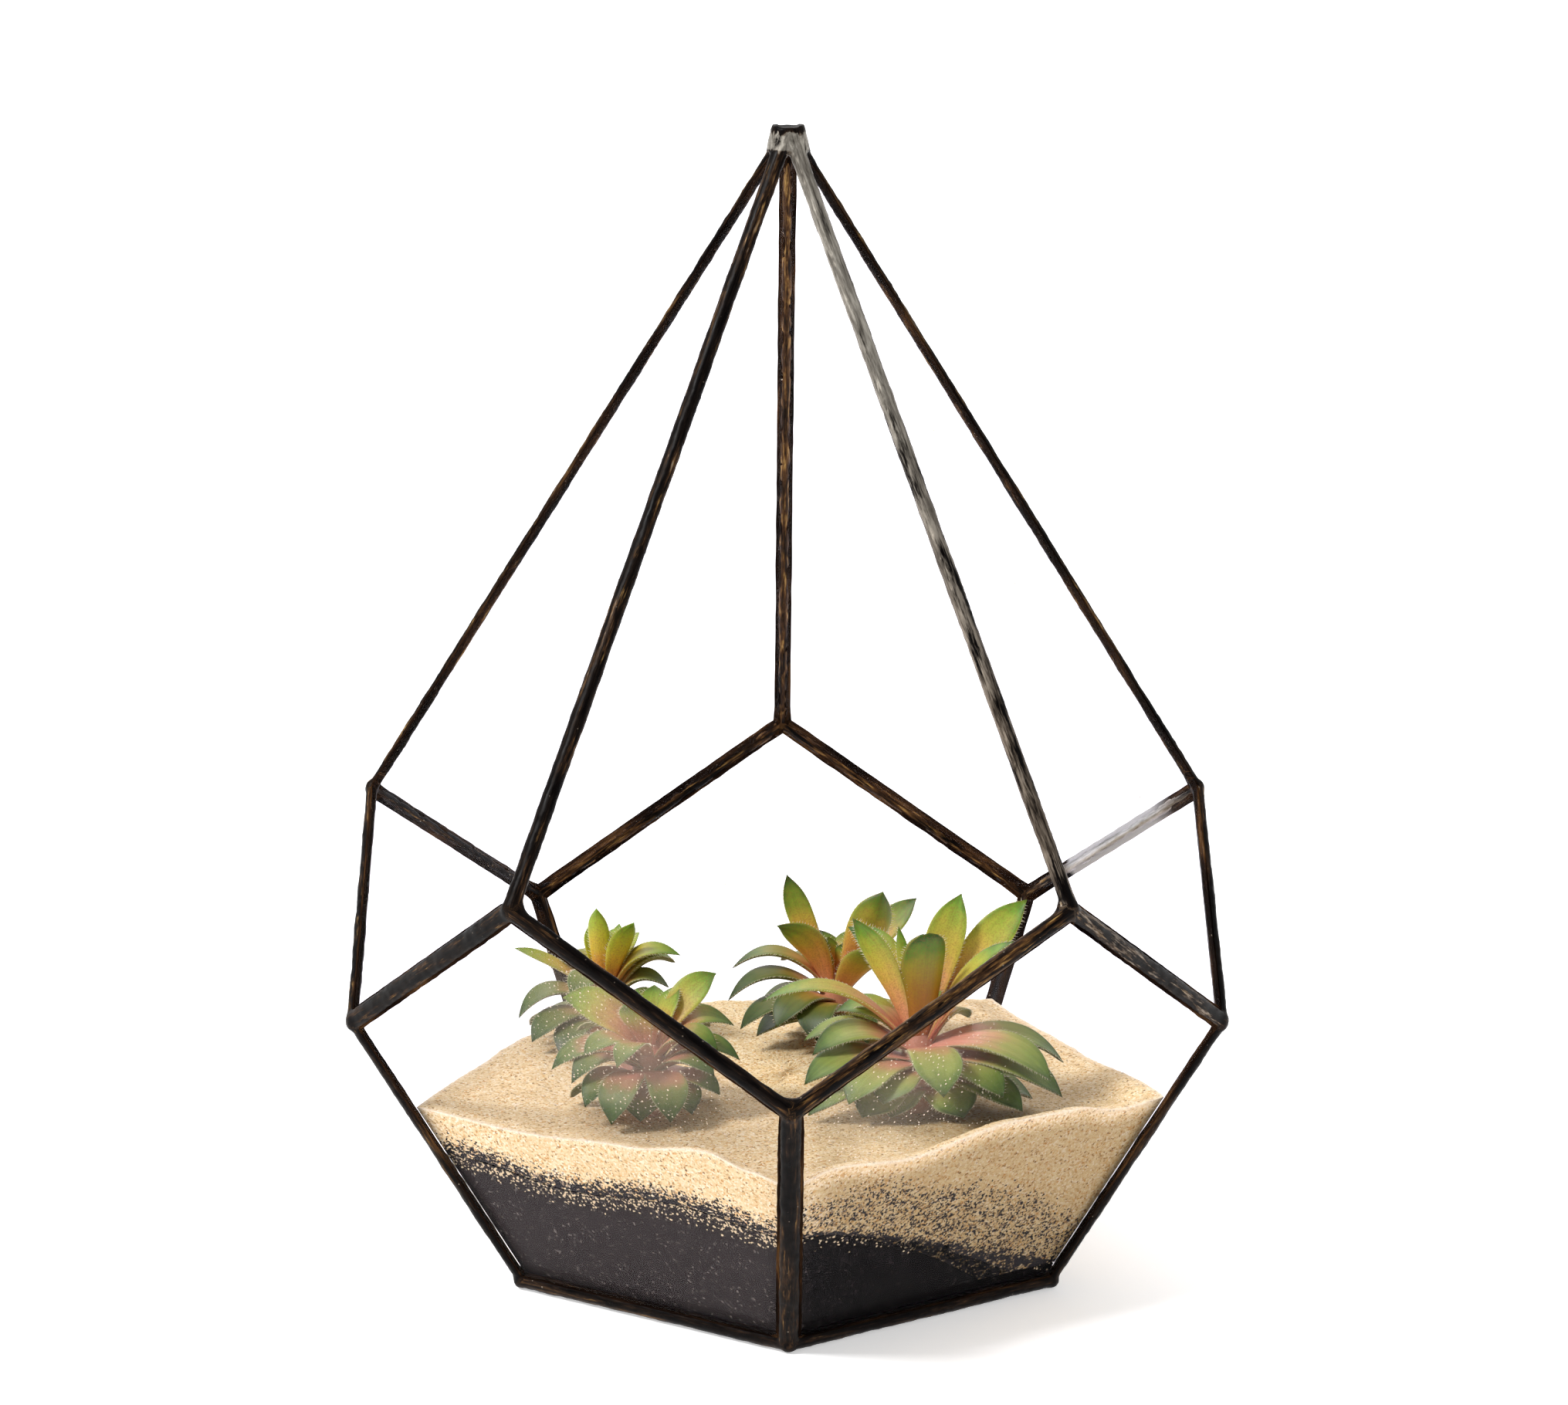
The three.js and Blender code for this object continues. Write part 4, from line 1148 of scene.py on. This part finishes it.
def set_hairs(points, wide, ahead, length_of_leaf, chance):
    """Hairs along both edges of one bent leaf, as a list of vertex arrays."""
    hairs = []
    step = HAIR_SPACING / length_of_leaf
    for edge in (1, -1):
        on_edge = np.flatnonzero(across * edge > 0.999)
        on_edge = on_edge[np.argsort(along[on_edge])]
        for t in np.arange(HAIRS_FROM, HAIRS_TO, step):
            t += chance.uniform(-0.3, 0.3) * step
            place = np.array([np.interp(t, along[on_edge], points[on_edge, k]) for k in range(3)])
            k = on_edge[np.abs(along[on_edge] - t).argmin()]
            way = wide[k] * edge + HAIR_LEAN * ahead[k] + np.array(
                [chance.uniform(-0.25, 0.25) for _ in range(3)])
            way /= np.linalg.norm(way)
            one = np.cross(way, ahead[k])
            one /= np.linalg.norm(one)
            other = np.cross(way, one)
            length = HAIR_LENGTH * chance.uniform(0.6, 1.2)
            hairs.append(place + spike[:, :1] * one * HAIR_RADIUS
                         + spike[:, 1:2] * other * HAIR_RADIUS + spike[:, 2:] * way * length)
    return hairs


print("one hair:", len(spike_faces), "faces")

# %% [markdown]
# ## One plant
#
# The leaves grow from a plump pink core that goes down into the sand. Each vertex keeps attributes
# for the material: how far along its leaf it is, how near the edge, whether it is on the upper
# side, how upright the leaf stands, because the upright ones are golden and the skirt is green,
# and a tone that is random from leaf to leaf. The leaves could be joined as objects, but a plant
# has thousands of hairs, so all its parts are put together as arrays, which is much quicker.

# %% Grow a plant
CORE_RADIUS = 4.4
CORE_FOOT = 46.0
FACTS = ("leaf_along", "leaf_edge", "leaf_upper", "leaf_upright", "leaf_tone")
CORE_FACTS = (0.04, 0.0, 0.0, 0.5, 0.5)
HAIR_FACTS = (1.0, 1.0, 1.0, 1.0, 1.0)


def grow_plant(name, crown, leaves, seed):
    """One plant as one mesh: its core, its leaves and then its hairs."""
    chance = random.Random(seed)
    core_top = crown[2] + 2.5
    core = (ball * (CORE_RADIUS, CORE_RADIUS, (core_top - CORE_FOOT) / 2)
            + (crown[0], crown[1], (core_top + CORE_FOOT) / 2))
    parts, hairs = [(core, pattern_faces, CORE_FACTS)], []
    for leaf in leaves:
        points, wide, ahead = bend_leaf(crown, leaf, chance.uniform(-0.5, 0.5))
        tone = chance.random() if leaf[:2] != BLUNT else RIPE_TONE
        parts.append((points, pattern_faces,
                      (along, np.abs(across), upward > 0.05, uprightness(leaf[2]), tone)))
        for hair in set_hairs(points, wide, ahead, math.hypot(leaf[1], leaf[2] + leaf[5]), chance):
            hairs.append((hair, spike_faces, HAIR_FACTS))

    faces, facts, total = [], [], 0
    for points, part_faces, part_facts in parts + hairs:
        faces += [tuple(v + total for v in face) for face in part_faces]
        facts.append([np.broadcast_to(fact, len(points)) for fact in part_facts])
        total += len(points)
    mesh = bpy.data.meshes.new(name)
    mesh.from_pydata((np.concatenate([part[0] for part in parts + hairs]) * MM).tolist(), [], faces)
    for key, values in zip(FACTS, np.concatenate(facts, axis=1).astype(float)):
        store(mesh, key, values)
    plant = bpy.data.objects.new(name, mesh)
    bpy.context.scene.collection.objects.link(plant)
    mesh.polygons.foreach_set("use_smooth", [True] * len(faces))
    hair_count = len(hairs) * len(spike_faces)
    mesh.polygons.foreach_set(
        "material_index", [0] * (len(faces) - hair_count) + [1] * hair_count)
    return plant


# %% [markdown]
# ## Leaf skin
#
# A succulent leaf is waxy and slightly translucent: light enters, scatters and tints it. On an
# upright leaf the glow of the edges against a bright background is painted on as a light rim. Its
# colour runs along the leaf, from salmon at the root through amber and yellow-green to green at the
# tip, with fine red-brown freckles where it is golden. The skirt leaves are olive to dark green with
# pale edges and pink roots, and their undersides get a painted shade. The blunt leaf is riper, so it
# is browner at its root and middle. The hairs are pale and have a finish of their own.

# %% Make the leaf skin
def make_leaf_skin(name, golden, green, golden_rim_glow):
    """Golden and green are the colours along an upright leaf and along a skirt leaf."""
    made, tree = start_material(name)
    place = add_node(tree, "TexCoord").outputs["Object"]
    along, edge, upper, upright, tone = [
        add_node(tree, "Attribute", attribute_name=key).outputs["Fac"] for key in FACTS]

    # How far the colour has run: a little uneven, and greener at the edge, but not at the root
    mottle = add_node(tree, "TexNoise", {"Vector": place, "Scale": 1 / (3 * MM), "Detail": 4})
    shift = add_node(tree, "Math", [mottle, 0.26, -0.13], operation="MULTIPLY_ADD")
    own = add_node(tree, "Math", [tone, 0.14, -0.07], operation="MULTIPLY_ADD")
    moved = add_node(tree, "Math", [shift, own], operation="ADD")
    greener = add_node(tree, "MapRange", [edge, 0.6, 1.0, 0, 0.12])
    moved = add_node(tree, "Math", [moved, greener], operation="ADD")
    held = add_node(tree, "MapRange", [along, 0.1, 0.35])
    moved = add_node(tree, "Math", [moved, held], operation="MULTIPLY")
    run = add_node(tree, "Math", [along, moved], operation="ADD")
    riper = add_node(tree, "MapRange", [tone, 0, -0.15, 0, 1])
    run = add_node(tree, "Math", [riper, 0.13, run], operation="MULTIPLY_ADD")

    gold = add_node(tree, "ValToRGB", [run], golden)
    leafy = add_node(tree, "ValToRGB", [run], green)
    skin = add_node(tree, "Mix", [upright, leafy, gold], data_type="RGBA")
    # Skirt leaves have a real pale margin; on an upright leaf the rim colour is a painted glow of
    # light through the edge
    rim_and_glow_colour = add_node(tree, "Mix", [upright, "#B9C08A", golden_rim_glow], data_type="RGBA")
    rim = add_node(tree, "MapRange", [edge, 0.9, 1.0, 0, 0.55])
    skin = add_node(tree, "Mix", [rim, skin, rim_and_glow_colour], data_type="RGBA")

    # Fibres run lengthwise, each leaf with its own
    spread = add_node(tree, "CombineXYZ", [edge, along, tone])
    drawn = add_node(tree, "VectorMath", [spread, (6.0, 1.6, 40.0)], operation="MULTIPLY")
    fibres = add_node(tree, "TexNoise", {"Vector": drawn, "Scale": 1.0, "Detail": 4})
    shades = add_node(tree, "ValToRGB", [fibres],
                      [(0.35, "#B4B4AC"), (0.5, "#E4E4E0"), (0.65, "#FFFFFF")])
    skin = add_node(tree, "Mix", [0.3, skin, shades], data_type="RGBA", blend_type="MULTIPLY")

    # Skirt leaves get a painted shade underneath, where less light reaches, and the ripe leaf is
    # browner towards its root
    skirt = add_node(tree, "Math", [1.0, upright], operation="SUBTRACT")
    lower = add_node(tree, "Math", [1.0, upper], operation="SUBTRACT")
    under = add_node(tree, "Math", [skirt, lower], operation="MULTIPLY")
    under = add_node(tree, "Math", [under, 0.55], operation="MULTIPLY")
    skin = add_node(tree, "Mix", [under, skin, "#3A4420"], data_type="RGBA")
    not_tip = add_node(tree, "MapRange", [along, 0.45, 0.9, 1, 0.45])
    brown = add_node(tree, "Math", [riper, not_tip], operation="MULTIPLY")
    skin = add_node(tree, "Mix", [brown, skin, "#BEA660"], data_type="RGBA",
                    blend_type="MULTIPLY")

    dots = add_node(tree, "TexNoise", {"Vector": place, "Scale": 1 / (0.35 * MM), "Detail": 3})
    freckles = add_node(tree, "MapRange", [upright, 0, 1, 0.1, 0.36])
    freckled = add_node(tree, "MapRange", [dots, 0.46, 0.64, 0, freckles])
    skin = add_node(tree, "Mix", [freckled, skin, "#8A4B2A"], data_type="RGBA")
    pores = add_node(tree, "Bump", {"Height": dots, "Strength": 0.3, "Distance": 0.12 * MM})
    surface = add_node(tree, "BsdfPrincipled", {
        "Base Color": skin, "Roughness": 0.45, "IOR": 1.45, "Specular IOR Level": 0.4,
        "Subsurface Weight": 0.15, "Subsurface Radius": (1.0, 0.7, 0.3),
        "Subsurface Scale": 1.2 * MM, "Normal": pores})
    add_node(tree, "OutputMaterial", [surface])
    return made


# %% Choose each plant's colours
GOLDEN = [(0.0, "#F0A68C"), (0.21, "#E8A274"), (0.38, "#DCAE58"), (0.53, "#D2BC4C"),
          (0.7, "#B2B840"), (0.86, "#729E2E"), (1.0, "#35661A")]
GOLDEN_SKIRT = [(0.0, "#EBA48E"), (0.2, "#E29A80"), (0.35, "#C99F6C"), (0.5, "#AFAE5E"),
                (0.68, "#94A44E"), (0.86, "#66823A"), (1.0, "#385424")]
DARK = [(0.0, "#F0A482"), (0.24, "#E89C5C"), (0.44, "#D8A444"), (0.6, "#BCA83A"),
        (0.75, "#869A2C"), (0.9, "#507422"), (1.0, "#2C4C14")]
DARK_SKIRT = [(0.0, "#E3A085"), (0.2, "#D89A62"), (0.36, "#A48838"), (0.52, "#70742A"),
              (0.8, "#465C20"), (1.0, "#283E14")]
YELLOW = [(0.0, "#EC9A60"), (0.25, "#E8A044"), (0.44, "#DEB836"), (0.62, "#CAC032"),
          (0.82, "#A8BC2E"), (1.0, "#6E9C22")]
YELLOW_SKIRT = [(0.0, "#D9A184"), (0.2, "#B5905C"), (0.45, "#76803E"), (0.8, "#4C6330"),
                (1.0, "#33482A")]
ROSY = [(0.0, "#E8A08C"), (0.28, "#E4A074"), (0.46, "#D4AC5A"), (0.64, "#BCBC4C"),
        (0.84, "#8EAA3C"), (1.0, "#567C28")]
ROSY_SKIRT = [(0.0, "#D08C7C"), (0.35, "#C07C68"), (0.55, "#A8805A"), (0.7, "#72803C"),
              (0.86, "#4A682C"), (1.0, "#2A441C")]
# The last colour of each skin is the painted edge glow of its upright leaves
SKINS = {
    "front_right": make_leaf_skin("succulent_leaf_golden", GOLDEN, GOLDEN_SKIRT, "#C8C05C"),
    "back_middle": make_leaf_skin("succulent_leaf_dark", DARK, DARK_SKIRT, "#B4B450"),
    "back_left": make_leaf_skin("succulent_leaf_yellow", YELLOW, YELLOW_SKIRT, "#C4C458"),
    "front_left": make_leaf_skin("succulent_leaf_rosy", ROSY, ROSY_SKIRT, "#C8C878")}

hair_finish, tree = start_material("leaf_hairs_pale")
surface = add_node(tree, "BsdfPrincipled", {"Base Color": "#EFE6C6", "Roughness": 0.5})
add_node(tree, "OutputMaterial", [surface])
print("leaf skins:", sorted(skin.name for skin in SKINS.values()))

# %% Grow the four plants
plants = {}
for seed, (name, (crown, back_from, near)) in enumerate(ROSETTES.items()):
    chance = random.Random(40 + seed)
    young = [(chance.uniform(0, 360), chance.uniform(2.5, 4), chance.uniform(9, 13), 0.5,
              chance.uniform(4, 5), -1, 0) for _ in range(5)]
    leaves = near + far_leaves(back_from, chance) + young
    plants[name] = grow_plant("plant_" + name, crown, leaves, 70 + seed)
    for finish in (SKINS[name], hair_finish):
        plants[name].data.materials.append(finish)
    print(name, count_triangles(plants[name]), "triangles")


# %% [markdown]
# ## Floor and light
#
# The photograph shows a white studio. A large white floor serves as floor and backdrop, because
# the camera looks down on it. The sky is a plain soft white that is darker on the side where the
# photographer stood, so that the solder mirrors a dark room in front and white walls beside it. A
# broad sun from the upper left gives the leaves and the sand their shape.

# %% Set the stage
start_fresh()
bpy.ops.mesh.primitive_plane_add(size=24)
floor = bpy.context.object
floor.name = "floor"
paper, tree = start_material("white_paper")
surface = add_node(tree, "BsdfPrincipled", {
    "Base Color": "#F6F6F6", "Roughness": 0.9, "Specular IOR Level": 0.1,
    "Emission Color": "#FFFFFF", "Emission Strength": 0.5})
add_node(tree, "OutputMaterial", [surface])
dress(floor, paper)

DARK_SIDE, LIGHT_SIDE = 0.16, 0.62  # the sky's brightness towards the front, and elsewhere
sky = bpy.data.worlds.new("studio")
sky.use_nodes = True
tree = sky.node_tree
tree.nodes.clear()
sides = add_node(tree, "SeparateXYZ", [add_node(tree, "TexCoord").outputs["Generated"]])
brightness = add_node(tree, "MapRange", [sides.outputs["Y"], -1.0, 0.0, DARK_SIDE, LIGHT_SIDE],
                      interpolation_type="SMOOTHSTEP")
light = add_node(tree, "Background", ["#FFFFFF", brightness])
add_node(tree, "OutputWorld", [light])
bpy.context.scene.world = sky
bpy.context.scene.view_settings.view_transform = "Standard"

# Each sun: strength, width, tilt from overhead and turn, in degrees
SUNS = {"key": (2.4, 14, 42, -62), "back": (0.9, 40, 50, 200)}
for name, (strength, width, tilt, turn) in SUNS.items():
    start_fresh()
    bpy.ops.object.light_add(type="SUN")
    sun = bpy.context.object
    sun.name = "light_" + name
    sun.data.energy = strength
    sun.data.angle = math.radians(width)
    sun.rotation_euler = (math.radians(tilt), 0, math.radians(turn))

# %% [markdown]
# ## Ride on the body, and stand in for the CAD nodes
#
# Each piece rides on the part's one body and takes the place of the CAD nodes that it dresses.

# %% Ride and replace
solder_nodes = [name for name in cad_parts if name.startswith(("seam_", "joint_"))]
dressed = [(solder_skin, "solder", solder_nodes), (beige, "beige_sand", ["sand_beige"]),
           (black, "black_sand", ["sand_black"])]
dressed += [(plant, "succulent", ["rosette_" + name]) for name, plant in plants.items()]
for piece, finish, nodes in dressed:
    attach(piece, "root")
    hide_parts(*nodes)
